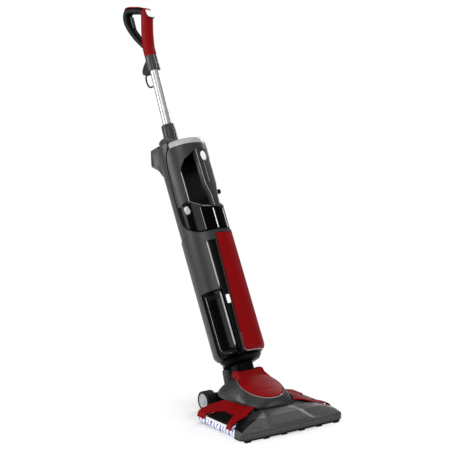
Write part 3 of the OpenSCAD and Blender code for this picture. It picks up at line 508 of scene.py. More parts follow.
# Black band round the front and sides of the shoe's foot, over the gap to nose and wings: painted shade
# for the shadow in that gap
x = 80.0 * np.sin(np.linspace(-np.pi / 2, np.pi / 2, 150))
y = 70.5 - 101.8 * (1 - np.abs(x / 80.2) ** 3.226) ** 0.31
path = np.column_stack([x, y, np.interp(y, (-31, 0, 8, 70), (52.8, 56.0, 58.8, 57.6))])
t = unit(np.gradient(path, axis=0) * (1, 1, 0))
dark_strip = bead(path, 2.4, np.cross(t, (0, 0, 1.0)), (0, 0, 0.8))
build("shoe_foot_painted_shade", [(dark_strip, True, False)], on_head, TREAD_RUBBER_AND_SHADE, "head")

# ---- Side rollers ----
# Each roller is a blue core with nylon bristles set in spiral rows, white with blue tufts between.
# The bristles carry their own map: around the roller and along it.
# Polypropylene: a strong blue with a waxy shine.
BLUE_PP = moulded("blue_polypropylene", "#2b2f8f", 0.3, 0.15, 1.5, coat=0.2)
# Rows 20 mm apart lean round the roller; single bristles are drawn 1 mm thick so that they show.
NYLON, tree = new_material("nylon_bristle_tufts")
chart = add(tree, "UVMap", uv_map="around_and_along")
rows = add(tree, "TexWave", {"Vector": chart, "Scale": 1.0, "Distortion": 1.5,
                             "Detail": 2.0, "Detail Scale": 1.5}, bands_direction="DIAGONAL")
hair = add(tree, "Mapping", {"Vector": chart, "Scale": (16.0, 24.0, 1.0)})
hairs = add(tree, "TexNoise", {"Vector": hair, "Scale": 1.0, "Detail": 2.0})
ramp = add(tree, "MapRange", {0: rows.outputs["Fac"], 1: 0.72, 2: 0.86},
           interpolation_type="SMOOTHSTEP")
tint = add(tree, "Mix", {0: ramp, 6: srgb("#eef3fb"), 7: srgb("#1d2290")}, data_type="RGBA")
bump = add(tree, "Bump", {"Strength": 0.8, "Distance": 0.001, "Height": hairs.outputs["Fac"]})
skin = add(tree, "BsdfPrincipled", {
    "Base Color": tint.outputs[2], "Roughness": 0.5, "IOR": 1.53, "Normal": bump,
    "Subsurface Weight": 0.2, "Subsurface Radius": (0.002, 0.002, 0.003)})
add(tree, "OutputMaterial", {"Surface": skin})


def lathe(profile, n, centre, axis):
    """A closed profile of (radius, place along the axis) turned round an axis through a centre."""
    turn = np.linspace(0, 2 * np.pi, n, endpoint=False)[:, None]
    r, t = np.asarray(profile, float).T
    c, s = r * np.cos(turn), r * np.sin(turn)
    t = np.broadcast_to(t, c.shape)
    return np.stack({"x": (t, c, s), "y": (s, t, c), "z": (c, s, t)}[axis], axis=-1) + centre


ROLLER_X, ROLLER_Z = 140.0, 17.0
CORE = ((4.3, -61), (15.2, -61), (15.5, -60.6), (15.5, -58.6), (12.9, -58.2), (12.9, 95), (15.5, 96),
        (15.5, 99.6), (15.2, 100), (4.3, 100))
for side, word in SIDES:
    centre = (side * ROLLER_X, 0.0, ROLLER_Z)
    # Two tufted rows wind round the roller and turn once in 9.5 mm
    y = np.linspace(-58, 94, 305)
    turn = np.linspace(0, 2 * np.pi, 120, endpoint=False)[:, None]
    tuft = 0.5 + 0.5 * np.sin(turn * 2 + y * 2 * np.pi / 9.5)
    r = 15.2 + 1.75 * tuft ** 0.7
    r[:, [0, -1]] = 13.2
    bristle = np.stack([centre[0] + r * np.sin(turn), np.broadcast_to(y, r.shape),
                        ROLLER_Z + r * np.cos(turn)], axis=-1)
    brush = build(word + "_bristle_rows", [(bristle, True, False)], on_head, NYLON, word + "_roller",
                  replaces=(word + "_roller_bristles",))
    uv = brush.data.uv_layers.new(name="around_and_along")
    spots = np.empty(len(brush.data.vertices) * 3)
    brush.data.vertices.foreach_get("co", spots)
    corners = np.empty(len(brush.data.loops), int)
    brush.data.loops.foreach_get("vertex_index", corners)
    spot = spots.reshape(-1, 3)[corners] * 1000
    angle = np.arctan2(spot[:, 0] - centre[0], spot[:, 2] - ROLLER_Z) / (2 * np.pi)
    uv.data.foreach_set("uv", np.stack([angle * 2.0, spot[:, 1] / 21.0], axis=1).ravel())
    core = lathe(CORE, 64, centre, "y")
    build(word + "_roller_tube", [(core[::-1], True, False)], on_head, BLUE_PP, word + "_roller",
          replaces=(word + "_roller_core",))

# ---- Rear wheels ----
# Plain wheels on a steel axle behind the shoe. Each is a grooved rubber tyre, pressed on a
# silver-painted ABS hub with a dished face.
# Metallic paint on ABS: an even light grey under a thin clear coat.
SILVER_PAINT = moulded("silver_painted_abs", "#9c9ea0", 0.32, 0.1, 1.2, coat=0.2,
                       tone=0.06)
AXLE = (0.0, 187.0, 26.0)
TYRE = ((20.0, 54.2), (24.6, 54.2), (25.7, 55.4), (26, 57), (26, 62.6), (25.3, 63), (25.3, 63.8),
        (26, 64.2), (26, 73.8), (25.3, 74.2), (25.3, 75), (26, 75.4), (26, 81), (25.7, 82.6),
        (24.6, 83.8), (20.0, 83.8))
HUB = ((4.1, 54.4), (19.9, 54.4), (19.9, 82.6), (18.6, 83.8), (17.2, 83.6), (16, 82.2), (9.6, 82.6),
       (8.8, 84.6), (6.5, 85.4), (0.001, 85.5))
for side, word in SIDES:
    for name, profile, shut, material, node in (("_tread", TYRE, True, TREAD_RUBBER_AND_SHADE, "_wheel_tyre"),
                                                ("_hub_disc", HUB, False, SILVER_PAINT, "_wheel_hub")):
        turned = lathe(profile, 72, AXLE, "x") * (side, 1, 1)
        build(word + name, [(turned[::side], True, shut)], on_head, material, word + "_wheel",
              replaces=(word + node,))

# ---- Neck and hose ----
# A black glass-filled nylon yoke turns on the pin between the ears and spreads into a dish under the
# column. Behind it a ribbed grey hose carries the dirty water up, and bends as the neck turns.
LEAN, TWIST, TILT = np.radians((27.9, 17.0, 2.5))
PIVOT = np.array((0.0, 108.0, 98.0))
# Extruded soft rubber: dark grey, matt and a little uneven.
HOSE_RUBBER = moulded("ribbed_grey_rubber", "#2c2d2e", 0.5, 0.4, 1.2, tone=0.15)


def about_x(p, angle):
    """Points turned about X: y' = y cos - z sin, z' = y sin + z cos."""
    c, s = np.cos(angle), np.sin(angle)
    return np.stack([p[..., 0], c * p[..., 1] - s * p[..., 2], s * p[..., 1] + c * p[..., 2]], axis=-1)


def about_z(p, angle):
    """Points turned about Z: x' = x cos - y sin, y' = x sin + y cos."""
    c, s = np.cos(angle), np.sin(angle)
    return np.stack([c * p[..., 0] - s * p[..., 1], s * p[..., 0] + c * p[..., 1], p[..., 2]], axis=-1)


def on_neck(p):
    """Neck frame: pivot at the origin and Z up the leaning column."""
    return (about_x(np.asarray(p, float), -LEAN) + PIVOT) / 1000


def rounded(w, d, r, n=8):
    """Ring of a rectangle w by d about the origin, with corners of radius r."""
    turn = np.linspace(0, np.pi / 2, n)
    arcs = [np.stack([sx * (w / 2 - r) + r * np.cos(turn + q), sy * (d / 2 - r) + r * np.sin(turn + q)])
            for sx, sy, q in ((1, 1, 0), (-1, 1, np.pi / 2), (-1, -1, np.pi), (1, -1, 1.5 * np.pi))]
    return np.concatenate(arcs, axis=1).T


def curve(knots, n):
    """Points on a smooth path through knots: a Catmull-Rom spline, evenly sampled in its parameter."""
    k = np.asarray(knots, float)
    k = np.concatenate([[2 * k[0] - k[1]], k, [2 * k[-1] - k[-2]]])
    s = np.linspace(0, len(k) - 3 - 1e-9, n)
    i, f = s.astype(int), (s % 1)[:, None]
    a, b, c, d = k[i], k[i + 1], k[i + 2], k[i + 3]
    return 0.5 * (2 * b + (c - a) * f + (2 * a - 5 * b + 4 * c - d) * f ** 2 +
                  (3 * b - a - 3 * c + d) * f ** 3)


finished(BLACK_ABS_AND_SHADE, "neck_yoke", "swivel_ring")
# Black boss that fills the yoke between the ears, below the dish
ring = rounded(55, 36, 9.0, 10) + (0, 4)
rings = [level(ring * 0.94, 2.0), level(ring, 5.0), level(ring, 34.0), level(ring * 1.1, 40.0)]
build("neck_boss", capped(rings), on_neck, BLACK_ABS_AND_SHADE, "neck")
# The hose is smooth at its foot, with nine waves along the rest
path = curve([(-19.5, 152, 56), (-19.5, 156, 76), (-19.5, 161, 92), (-19.5, 165.3, 106.6)], 130)
along = np.linspace(0, 1, 130)
radius = 12.6 + 0.65 * np.sin(2 * np.pi * along * 9) * (along > 0.3)
across = np.array((1.0, 0, 0))
hose = bead(path, radius, across, np.cross(unit(np.gradient(path, axis=0)), across), 48)
hose_piece = build("ribbed_hose", [(hose[::-1], True, False)], on_head, HOSE_RUBBER, None,
                   replaces=("suction_hose",), wall=1.5)
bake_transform(hose_piece)

# ---- Column ----
# A black inner frame carries graphite ABS shells: one round the back, a panel on each side with a
# long groove, and a red gloss cover down the front. All are 3 mm skins on a 140 mm round column.
BASE, TOP_LOW, TOP, SHOULDER, R_LOW, R_HIGH, FOOT = 50.0, 392.0, 659.5, 681.5, 70.0, 67.5, 24.0


def on_column(p):
    """Column frame: the neck frame turned on its own axis, front at -Y."""
    return on_neck(about_z(np.asarray(p, float), TWIST))


def foot_radius(t, r=R_LOW):
    """Radius of the column at a height, rounded in over the lowest 24 mm by a quarter circle."""
    under = np.clip(BASE + FOOT - t, 0, FOOT)
    return r - FOOT + np.sqrt(FOOT ** 2 - under ** 2)


def round_patch(a, t, r):
    """Points at angles from the front, towards +X, and heights: (r sin a, -r cos a, t)."""
    a, t, r = np.broadcast_arrays(a, t, r)
    return np.stack([r * np.sin(a), -r * np.cos(a), t], axis=-1)


def between(low, high, n):
    """n even steps from low to high, as the first axis."""
    return low + (high - low) * np.linspace(0, 1, n)[:, None]


# The seam between the column and the dirty-water unit seen from the side, as (y, height)
SEAM = curve([(-70, 392.3), (-54, 392.8), (-34, 395.5), (-15, 404.5), (0, 414.5), (9, 424),
              (14.5, 437), (17.5, 460), (18, 480), (17.2, 505), (15, 545), (12, 582), (7.5, 614),
              (-1, 634), (-10, 647), (-14, 660.5)], 600)
deep = SEAM[:, 0].argmax()
WIDEST, DEEPEST = float(np.arccos(-18.0 / R_HIGH)), 480.0


def seam_angle(t):
    """Angle from the front at which the seam crosses a height."""
    return np.arccos(-np.interp(t, SEAM[:, 1], SEAM[:, 0]) / R_HIGH)


def seam_low(a):
    """Height of the seam's lower branch at an angle."""
    return np.interp(-R_HIGH * np.cos(a), SEAM[:deep + 1, 0], SEAM[:deep + 1, 1])


def seam_high(a):
    """Height of the seam's upper branch at an angle."""
    return np.interp(R_HIGH * np.cos(a), -SEAM[deep:, 0], SEAM[deep:, 1])


finished(BLACK_ABS_AND_SHADE, "core_frame")
# Black seal down in the seam: a strip laid out flat on both sides of the seam, 4.6 mm wide
lie = SEAM[np.linspace(0, 599, 220).astype(int)]
flat = np.stack([R_HIGH * np.arccos(np.clip(-lie[:, 0] / R_HIGH, -1, 1)), lie[:, 1]], axis=1)
way = unit(np.gradient(flat, axis=0))
across = np.stack([way[:, 1], -way[:, 0]], axis=1)
strip = [flat + across * off for off in (3.4, -1.2)]
dark_strip = (np.stack([round_patch(p[:, 0] / R_HIGH, p[:, 1], 65.2) for p in strip], axis=1), False, False)
build("seam_seal", [dark_strip, *mirrored([dark_strip], -1)], on_column, BLACK_ABS_AND_SHADE, "column", wall=1.0)
GAP = 2.0
side_gap = GAP / R_HIGH


def beside_seam(a, branch, off):
    """Height of an edge that runs beside a branch of the seam, a gap away from it sideways and by
    off in height; behind the seam it is level."""
    half = np.minimum(a, 2 * np.pi - a)
    beside = branch(np.clip(half - side_gap, 0, WIDEST)) + off
    return np.where(half < WIDEST + side_gap, beside, DEEPEST)


# Rear shell: the skin below the seam's foot, the band under the seam, the back over it, and the
# strip under the unit in front
t = np.concatenate([np.linspace(BASE, BASE + FOOT, 16), np.linspace(BASE + FOOT + 6, TOP_LOW, 40)])
low_skin = round_patch(between(np.radians(104.8), np.radians(255.2), 70), t, foot_radius(t))
step = TOP_LOW - 2.5
a = np.linspace(np.radians(18), np.radians(342), 260)[:, None]
ceiling = beside_seam(a, seam_low, -GAP)
t = step + (np.maximum(ceiling, TOP_LOW - 1.5) - step) * np.linspace(0, 1, 24)
band = round_patch(a, t, R_LOW - (R_LOW - R_HIGH) * np.clip((t - step) / 2.5, 0, 1))
shut = np.arccos(14.5 / R_HIGH) + side_gap
a = np.linspace(shut, 2 * np.pi - shut, 220)[:, None]
base = beside_seam(a, seam_high, GAP)
back = round_patch(a, base + (TOP - base) * np.linspace(0, 1, 30), R_HIGH)
a = between(np.radians(-30.5), np.radians(30.5), 40)
front_band = round_patch(a, np.linspace(382.6, 391.0, 6), R_LOW)
build("rear_skin", [low_skin, band, back, front_band], on_column, GRAPHITE_ABS, "column",
      replaces=("rear_shell",), wall=2.4, soft=0.7)
# Closed top of the rear shell, the shoulder block and the cord lug behind it
turn = np.linspace(-0.21, np.pi + 0.21, 60)
rim = np.stack([(R_HIGH - 0.3) * np.cos(turn), (R_HIGH - 0.3) * np.sin(turn)], axis=1)
build("rear_top_plate", capped([level(rim, TOP - 2.4), level(rim, TOP)]), on_column, GRAPHITE_ABS,
      "column", soft=0.8)
turn = np.linspace(np.arcsin(5 / 56), np.pi - np.arcsin(5 / 56), 60)
block = np.stack([56 * np.cos(turn), 56 * np.sin(turn)], axis=1)
rings = [level(block, TOP - 1), level(block, SHOULDER - 3),
         level(block * (0.985, 0.99) + (0, 0.6), SHOULDER - 0.8),
         level(block * (0.955, 0.96) + (0, 1.6), SHOULDER)]
build("shoulder_block", capped(rings), on_column, GRAPHITE_ABS, "column", soft=0.5)
lug = curve([(58, 681), (85.5, 680), (88.5, 678), (97.5, 650), (99.6, 642), (99, 636), (93, 629),
             (85, 621.5), (78, 613), (73, 602), (68, 592), (60, 588)], 90)
rings = [upright((70, 634) + (lug - (70, 634)) * shrink, (x,))[0]
         for x, shrink in ((-25, 0.93), (-24, 0.975), (-22, 1.0), (22, 1.0), (24, 0.975), (25, 0.93))]


def turned_over(grids):
    """Grids with their faces the other way round."""
    return [(p[::-1], *shut) for p, *shut in grids]


build("cord_lug", turned_over(capped(rings)), on_column, GRAPHITE_ABS, "column")


def swell(low, steep, n, least=0.2):
    """Size of a line that tapers out at both ends: a steepened half sine, from the least to 1."""
    return np.clip(np.sin(np.linspace(low, np.pi - low, n)) * steep, least, 1)


for side, word in SIDES:
    # Side panel: the skin behind the groove, the skin above it, and a strip in front of it
    t = np.linspace(233.5, 391.0, 60)
    behind = np.interp(t, (233.5, 236, 362, 368, 391), (54, 54, 54, 53, 53))
    grids = [round_patch(between(np.radians(behind), np.radians(104), 40), t, R_LOW)]
    t = np.linspace(366.0, 391.0, 12)
    grids.append(round_patch(between(np.radians(30.5) + 0 * t, np.radians(53) + 0 * t, 16), t, R_LOW))
    t = np.linspace(60.0, 366.0, 60)
    near = np.radians(np.interp(t, (60, 385), (39.4, 30.5)))
    grids.append(round_patch(between(near, near + np.radians(2.6), 4), t, foot_radius(t, 69.2)))
    build(word + "_panel_skin", mirrored([(p, False, False) for p in grids], side), on_column,
          GRAPHITE_ABS, "column", replaces=(word + "_panel",), wall=2.4, soft=0.8)
    # Raised pale line along the groove's edge: a painted highlight where the edge catches the light
    path = round_patch(np.radians(53.5), np.linspace(238, 366, 60), 69.9)
    groove_glint = bead(path, 1.9 * swell(0.05, 4, 60), (np.cos(0.93), np.sin(0.93), 0), (0.48, -0.36, 0), 12)
    build(word + "_groove_lip", mirrored([(groove_glint, True, False)], side), on_column, PALE_TRIM_AND_HIGHLIGHT, "column")

# Front cover: red skin, wider at its foot, with round lower corners and a pale rim below it
bend = np.linspace(0, np.pi / 2, 14)
t = np.concatenate([57.5 + 12 * (1 - np.cos(bend)), np.linspace(72, 381.5, 90)])
reach = np.radians(np.interp(t, (60, 389), (38.0, 29.0)))
pull = np.clip((69.5 - t) / 12, 0, 1)
reach = reach * (1 - 0.26 * (1 - np.sqrt(1 - pull ** 2)))
cover = round_patch(between(-reach, reach, 60), t, foot_radius(t, 70.3) + 0.15)
build("front_skin", [cover], on_column, RED_ABS, "column", replaces=("front_cover",), wall=2.6,
      soft=1.0, segments=3)
edge = np.concatenate([cover[0, 24::-1], cover[:, 0], cover[-1, :25]])
out = unit(edge * (1, 1, 0))
rim = np.swapaxes(bead(edge - out * 1.2, 1.5, out, (0, 0, 1.0), 10), 0, 1)
build("cover_rim", [(rim, False, True)], on_column, PALE_TRIM_AND_HIGHLIGHT, "column")

# ---- Side tanks ----
# Blow-moulded smoked tanks for clean water, one in each side of the column, with a grip slot at
# the top, drawn as a black patch of painted shade, and a painted highlight along the edge in front. A
# white latch holds each.
# White ABS from a polished mould, glossy and nearly even; up the vessel's front it is painted
# highlight.
WHITE_ABS_AND_HIGHLIGHT = moulded("white_abs_and_painted_highlight", "#f0f0ee", 0.3, 0.08, 1.5, coat=0.3, tone=0.03)
# Section in X and Y: the outer arc, then the walls that run into the column
arc = np.linspace(np.radians(54.2), np.radians(93.2), 30)
INNER_WALLS = ((37.0, 3.5), (36.6, -20.0), (37.0, -40.0))
tank = []
bend = np.linspace(0, np.pi / 2, 8)
for t in np.concatenate([54.6 + 10 * (1 - np.cos(bend)), np.linspace(68, 218, 40),
                         222 + 8 * np.sin(bend)]):
    r = foot_radius(t, 69.4) - (1.8 if t > 229.5 else 0.0) - (0.0 if t > 66 else 0.5)
    mouth = np.column_stack([r * np.sin(arc), -r * np.cos(arc)])
    ends = mouth[0] * 0.985 + (-1.2, 0.4), mouth[-1] * 0.985 + (-1.0, -0.2)
    tank.append(level(np.concatenate([ends[:1], mouth, ends[1:], INNER_WALLS]), t))
# Pale line on the front edge, a painted highlight where the tank's face turns, and the thin line round
# the tank's back and foot
path = round_patch(np.radians(55.4), np.linspace(76, 226, 50), 69.0)
line_bead = bead(path, 2.1 * swell(0.04, 5, 50), (np.cos(0.967), np.sin(0.967), 0),
           (0.6 * np.sin(0.967), -0.6 * np.cos(0.967), 0), 10)
bend = np.linspace(0, np.pi / 2, 12)[1:]
t = np.concatenate([np.linspace(222, 84, 30), 84 - 22 * np.sin(bend)])
sweep = np.radians(np.concatenate([np.full(30, 92.6), 92.6 - 26 * (1 - np.cos(bend))]))
thin = bead(round_patch(sweep, t, foot_radius(t, 69.7)), 0.7, (1.0, 0, 0), (0, 0.8, 0.6))
# Black patch at the top of the tank: painted shade for the grip slot's hollow
grip = round_patch(np.radians(np.linspace(60, 86, 20))[:, None], np.linspace(209, 221, 8), 69.75)


def facing_out(ring, angle, r, t):
    """A ring of (across, up) that faces outwards at an angle, a radius and a height."""
    x, z = ring.T
    s, c = np.sin(angle), np.cos(angle)
    return np.stack([r * s + x * c, x * s - r * c, t + z], axis=1)


latch = [facing_out(rounded(9.6, 23.4, 2.2, 6) * k, np.radians(42.0), d, 201.0)
         for d, k in ((63.6, 0.98), (68.9, 1.0), (69.5, 0.93), (69.7, 0.8))]
for side, word in SIDES:
    body = word + "_tank"
    build(word + "_tank_shell", mirrored(capped(tank), side), on_column, SMOKED_PC, body,
          replaces=(body,), soft=1.4, segments=3, sharp=32)
    build(word + "_tank_edge_highlight", mirrored([(line_bead, True, False)], side), on_column, PALE_TRIM_AND_HIGHLIGHT, body)
    build(word + "_tank_line", mirrored([(thin, True, False)], side), on_column, PALE_TRIM_AND_HIGHLIGHT, body)
    build(word + "_tank_grip_shade", mirrored([(grip, False, False)], side), on_column, BLACK_ABS_AND_SHADE, body,
          wall=0.9, soft=0.4)
    build(word + "_latch_pad", mirrored(turned_over(capped(latch)), side), on_column, WHITE_ABS_AND_HIGHLIGHT,
          word + "_latch", replaces=(word + "_tank_latch",))

# ---- Works inside the column ----
# Motor, fan, pump, control board and suction pipe, all behind the skins. The motor's case and the
# fan are die-cast, and the other pieces are moulded.
# Casting leaves a pebbled skin, about 1.4 mm from grain to grain, with a broken shine.
CAST_ALUMINIUM = bare_metal("cast_aluminium", "#9a9ca0", 1.0, (1.0, 1.0, 1.0), 700.0, 4.0,
                            (0.38, 0.62), 0.3, 0.0002)
# Green lacquer over the copper: glossy and a little mottled.
SOLDER_MASK = moulded("green_solder_mask", "#1c5a34", 0.35, 0.3, 2.0, tone=0.3)
finished(CAST_ALUMINIUM, "suction_motor", "fan_impeller")
finished(BLACK_ABS_AND_SHADE, "water_pump", "suction_pipe")
finished(SOLDER_MASK, "control_board")

# ---- Dirty-water unit ----
# It lifts out forwards in one piece: a smoked vessel clipped under a graphite ABS housing, with a
# finger recess behind an upright spine, a release button and a silver-painted cap on top.
HOUSING_TOP = 641.5


def vessel_line(a):
    """Height of the vessel's upper edge at an angle, low in front and higher towards its sides."""
    return np.interp(np.abs(np.degrees(a)), (20, 40, 55, 62), (455, 459.5, 470, 478))


a = np.linspace(-WIDEST, WIDEST, 200)[:, None]
base = seam_low(np.abs(a)) + GAP
base[[0, -1]] = 470.0
vessel = round_patch(a, base + (vessel_line(a) - base) * np.linspace(0, 1, 24), R_HIGH)
# The right half of the floor runs in level from the lower edge
under = vessel[99:, 0][::-1, None] * (1 - np.linspace(0, 1, 12)[:, None] * (1, 0, 0))
build("vessel_skin", [vessel, under], on_column, SMOKED_PC, "dirty_unit", replaces=("dirty_vessel",),
      wall=1.8, soft=0.8)
# Two white lines up the vessel's front and a fine pale line up each side: painted highlights, where the
# glossy vessel reflects the light
for word, spot, size, material in (("left", -17.0, 1.5, WHITE_ABS_AND_HIGHLIGHT), ("right", 17.0, 1.5, WHITE_ABS_AND_HIGHLIGHT),
                                   ("outer_left", -47.0, 0.6, PALE_TRIM_AND_HIGHLIGHT),
                                   ("outer_right", 47.0, 0.6, PALE_TRIM_AND_HIGHLIGHT)):
    a = np.radians(spot)
    path = round_patch(a, np.linspace(seam_low(abs(a)) + 3, vessel_line(a) - 3, 30), 67.6)
    line_bead = bead(path, size * swell(0.08, 5, 30, 0.25), (np.cos(a), np.sin(a), 0),
               (0.5 * np.sin(a), -0.5 * np.cos(a), 0), 10)
    build("vessel_highlight_" + word, [(line_bead, True, False)], on_column, material, "dirty_unit")
finished(WHITE_ABS_AND_HIGHLIGHT, "unit_filter")


def facing(ring, y):
    """A ring of (x, z) set upright at a place along Y, or at one for each point."""
    return np.column_stack([ring[:, 0], np.broadcast_to(y, len(ring)), ring[:, 1]])


# Housing: two cheeks that meet above the recess, and a strip between the vessel and the recess that
# widens into the cheeks at its sides
RECESS = np.array(((23, 457.7), (43.4, 462), (55.3, 472.5), (61.5, 482), (61.5, 580), (54, 600),
                   (26, 622)))
RECESS_FLOOR = -24.0
t = np.concatenate([np.linspace(482, 622, 70), np.linspace(622.2, HOUSING_TOP - 0.6, 10)])
inner = np.arcsin(np.where(t > 622, 0.0, np.interp(t, RECESS[:, 1], RECESS[:, 0])) / R_HIGH)
cheek = (round_patch(between(inner, seam_angle(t) - side_gap, 60), t, R_HIGH), False, False)
a = np.linspace(-1, 1, 160)[:, None] * (seam_angle(481.0) - side_gap)
low = vessel_line(a) + 0.8
high = np.interp(np.abs(np.degrees(a)), (20, 40, 55, 62, 64), (457.7, 462, 472.5, 481, 482))
strip = round_patch(a, low + (high - low) * np.linspace(0, 1, 4), R_HIGH)
build("housing_skin", [cheek, *mirrored([cheek], -1), strip], on_column, GRAPHITE_ABS, "dirty_unit",
      replaces=("unit_housing",), wall=2.2, soft=0.7)
# The recess's walls and its floor, drawn black: painted shade inside the hollow
corners = np.concatenate([RECESS, (RECESS * (-1, 1))[::-1]])
mouth = np.concatenate([between(p, q, 16)[:-1] for p, q in zip(corners, np.roll(corners, -1, axis=0))])
surface = -np.sqrt(R_HIGH ** 2 - mouth[:, 0] ** 2)
walls, _, end = capped([facing(mouth, surface + (RECESS_FLOOR - surface) * k)
                        for k in np.linspace(0, 1, 5)])
build("finger_recess", [walls, end], on_column, BLACK_ABS_AND_SHADE, "dirty_unit")
# Pale line along the recess's outer side and foot: a painted highlight on its edge
x = np.linspace(61, 26, 20)
t = np.concatenate([np.linspace(566, 484, 30), np.interp(x, RECESS[:4, 0], RECESS[:4, 1])])
x = np.concatenate([np.full(30, 62.4), x])
line_bead = bead(np.column_stack([x, -np.sqrt((R_HIGH + 0.1) ** 2 - x ** 2), t]), 1.3, (0.4, -0.9, 0),
           (0.65, 0.3, 0.7))
for side, word in SIDES:
    build(word + "_recess_edge", mirrored([(line_bead[::-1], True, False)], side), on_column, PALE_TRIM_AND_HIGHLIGHT,
          "dirty_unit")

# Spine that the fingers close round, crowned in front and narrower at its foot
rings = []
for t, w in ((457.5, 26), (470, 27), (488, 29.5), (500, 35.5), (512, 44), (524, 49), (560, 50),
             (600, 50), (623, 50)):
    ring = rounded(w, 17.0, 4.0)
    ring[:, 1] += 2.6 * (ring[:, 0] / 25) ** 2 * (ring[:, 1] < 0) - 58.6
    rings.append(level(ring, t))
build("spine_bar", capped(rings), on_column, GRAPHITE_ABS, "dirty_unit", replaces=("unit_spine",))
# A raised pale line along each edge of the spine, and a shorter one left of its middle: painted
# highlights where they catch the light
t = np.linspace(460, 621, 60)
x = np.interp(t, (460, 488, 500, 524, 560), (11.2, 12.8, 15.8, 22.4, 23.0))
edge = np.column_stack([x, -66.9 + 2.6 * (x / 25) ** 2, t])
crease = np.linspace((-6.0, -67.1, 524), (-6.0, -67.1, 586), 50)
for name, path, size, out in (("spine_line_left", edge * (-1, 1, 1), 0.75, -1.0),
                              ("spine_crease", crease, 0.8 * swell(0.05, 3, 50), -0.6),
                              ("spine_line_right", edge, 0.75, -1.0)):
    line_bead = bead(path, size, (1.0, 0, 0), (0, out, 0))
    build(name, [(line_bead, True, False)], on_column, PALE_TRIM_AND_HIGHLIGHT, "dirty_unit")


def circle(n):
    """Ring of n points at a distance of 1 from the origin."""
    turn = np.linspace(0, 2 * np.pi, n, endpoint=False)
    return np.stack([np.cos(turn), np.sin(turn)], axis=1)


# Release button: white oval, softly domed, 38.5 mm below the housing's top
oval_ring = circle(60) * (9.6, 13.6)
rings = [facing(oval_ring * k + (0, HOUSING_TOP - 38.5), y)
         for y, k in ((-60.0, 1.0), (-67.2, 1.0), (-68.0, 0.95), (-68.4, 0.82), (-68.6, 0.5))]
build("release_oval", capped(rings), on_column, WHITE_ABS_AND_HIGHLIGHT, "release_button",
      replaces=("release_button",))

# Silver cap, a shallow D with a bevelled upper edge: an arc in front and a straight edge behind
turn = np.linspace(np.pi + 0.19, 2 * np.pi - 0.19, 90)
arc = np.stack([np.cos(turn), np.sin(turn)], axis=1)
rings = [level(np.concatenate([r * arc, line((0.9 * r, back), (-0.9 * r, back), 14)]), t)
         for r, back, t in ((67.2, -12.2, 642.0), (67.2, -13.6, 650.5), (66.4, -14.2, 654.5),
                            (63.6, -14.6, 658.2), (60.5, -15.2, TOP))]
build("cap_shell", capped(rings), on_column, SILVER_PAINT, "dirty_unit", replaces=("unit_cap",))


def on_clip(grids, side):
    """Grids from a clip's pin frame (X along the pin, Y into the column, Z up the tilted pad)."""
    return mirrored([(about_z(about_x(about_z(p, np.pi / 2), -np.radians(12)) + (70.0, 0, 477.5),
                              -np.radians(10)), *shut) for p, *shut in grids], side)


# Clips: silver-painted pads on a pin, hooked over the vessel's shoulder, each with a black slot
# beside its head where the housing is cut away
pad = capped([facing(rounded(15, 23, 6.0) * k + (0, -16.5), y)
              for y, k in ((1.2, 1.0), (-0.6, 1.0), (-1.6, 0.94), (-2.0, 0.82))])
seat = capped([facing(rounded(20, 7, 3.0, 6) + (-1.0, 3.0), y) for y in (6.0, 1.0)])
for side, word in SIDES:
    build(word + "_clip_pad", on_clip(pad, side), on_column, SILVER_PAINT, word + "_clip",
          replaces=(word + "_clip",))
    build(word + "_clip_seat", on_clip(seat, side), on_column, BLACK_ABS_AND_SHADE, "dirty_unit")
# Round black stop on the right-hand side of the housing
rings = [facing_out(circle(40) * r, 1.05, d, 512.0)
         for d, r in ((60.0, 6.8), (74.0, 6.8), (75.6, 6.0), (76.2, 4.2))]
build("side_stop", turned_over(capped(rings)), on_column, BLACK_ABS_AND_SHADE, "dirty_unit")

# ---- Pole ----
# A drawn aluminium tube with a bright anodised finish stands in a moulded collar on the shoulder.
# Drawing leaves faint lines along the tube, drawn 0.7 mm apart so that they show.
ANODISED = bare_metal("bright_anodised_aluminium", "#b2b4b7", 0.55, (1400.0, 60.0, 40.0), 1.0, 2.0,
                      (0.2, 0.32), 0.05, 0.0001)


def on_pole(p):
    """Pole frame: Z up the pole, starting at the column's shoulder."""
    return on_column(about_x(np.asarray(p, float), TILT) + (0.0, 26.0, SHOULDER))


finished(ANODISED, "pole")
collar = lathe(((12.7, -36), (17.6, -36), (17.6, 0), (19.6, 0.4), (19.8, 2.0), (19.4, 6), (18.9, 30),
                (18.6, 48.6), (18.2, 49.7), (17.2, 50.2), (12.7, 50.2)), 80, (0.0, 0.0, 0.0), "z")
build("collar", [(collar, True, True)], on_pole, GRAPHITE_ABS, "column", replaces=("pole_socket",))
# Black line up the collar's front between two pale lines: painted shade in its groove and painted
# highlights on the groove's edges
z = np.linspace(2, 49.5, 20)
for word, x, size, material in (("groove", 0.0, 1.9, BLACK_ABS_AND_SHADE), ("highlight_left", -3.4, 0.8, PALE_TRIM_AND_HIGHLIGHT),
                                ("highlight_right", 3.4, 0.8, PALE_TRIM_AND_HIGHLIGHT)):
    y = 0.3 - np.sqrt(np.interp(z, (2, 49.5), (19.7, 18.6)) ** 2 - x ** 2)
    line_bead = bead(np.column_stack([np.full(20, x), y, z]), size, (1.0, 0, 0), (0, -0.32, 0), 10)
    build("collar_" + word, [(line_bead, True, False)], on_pole, material, "column")

# ---- Sleeve and cord hook ----
# A graphite ABS sleeve is pressed on the pole, with a black block behind it. The cord hook is 5 mm
# wire with a black plastic coat, and turns on a pin between the block's two cheeks.
SLEEVE = 215.0


def on_sleeve(p):
    """Sleeve frame: the pole frame from the sleeve's foot."""
    return on_pole(p + (0, 0, SLEEVE))


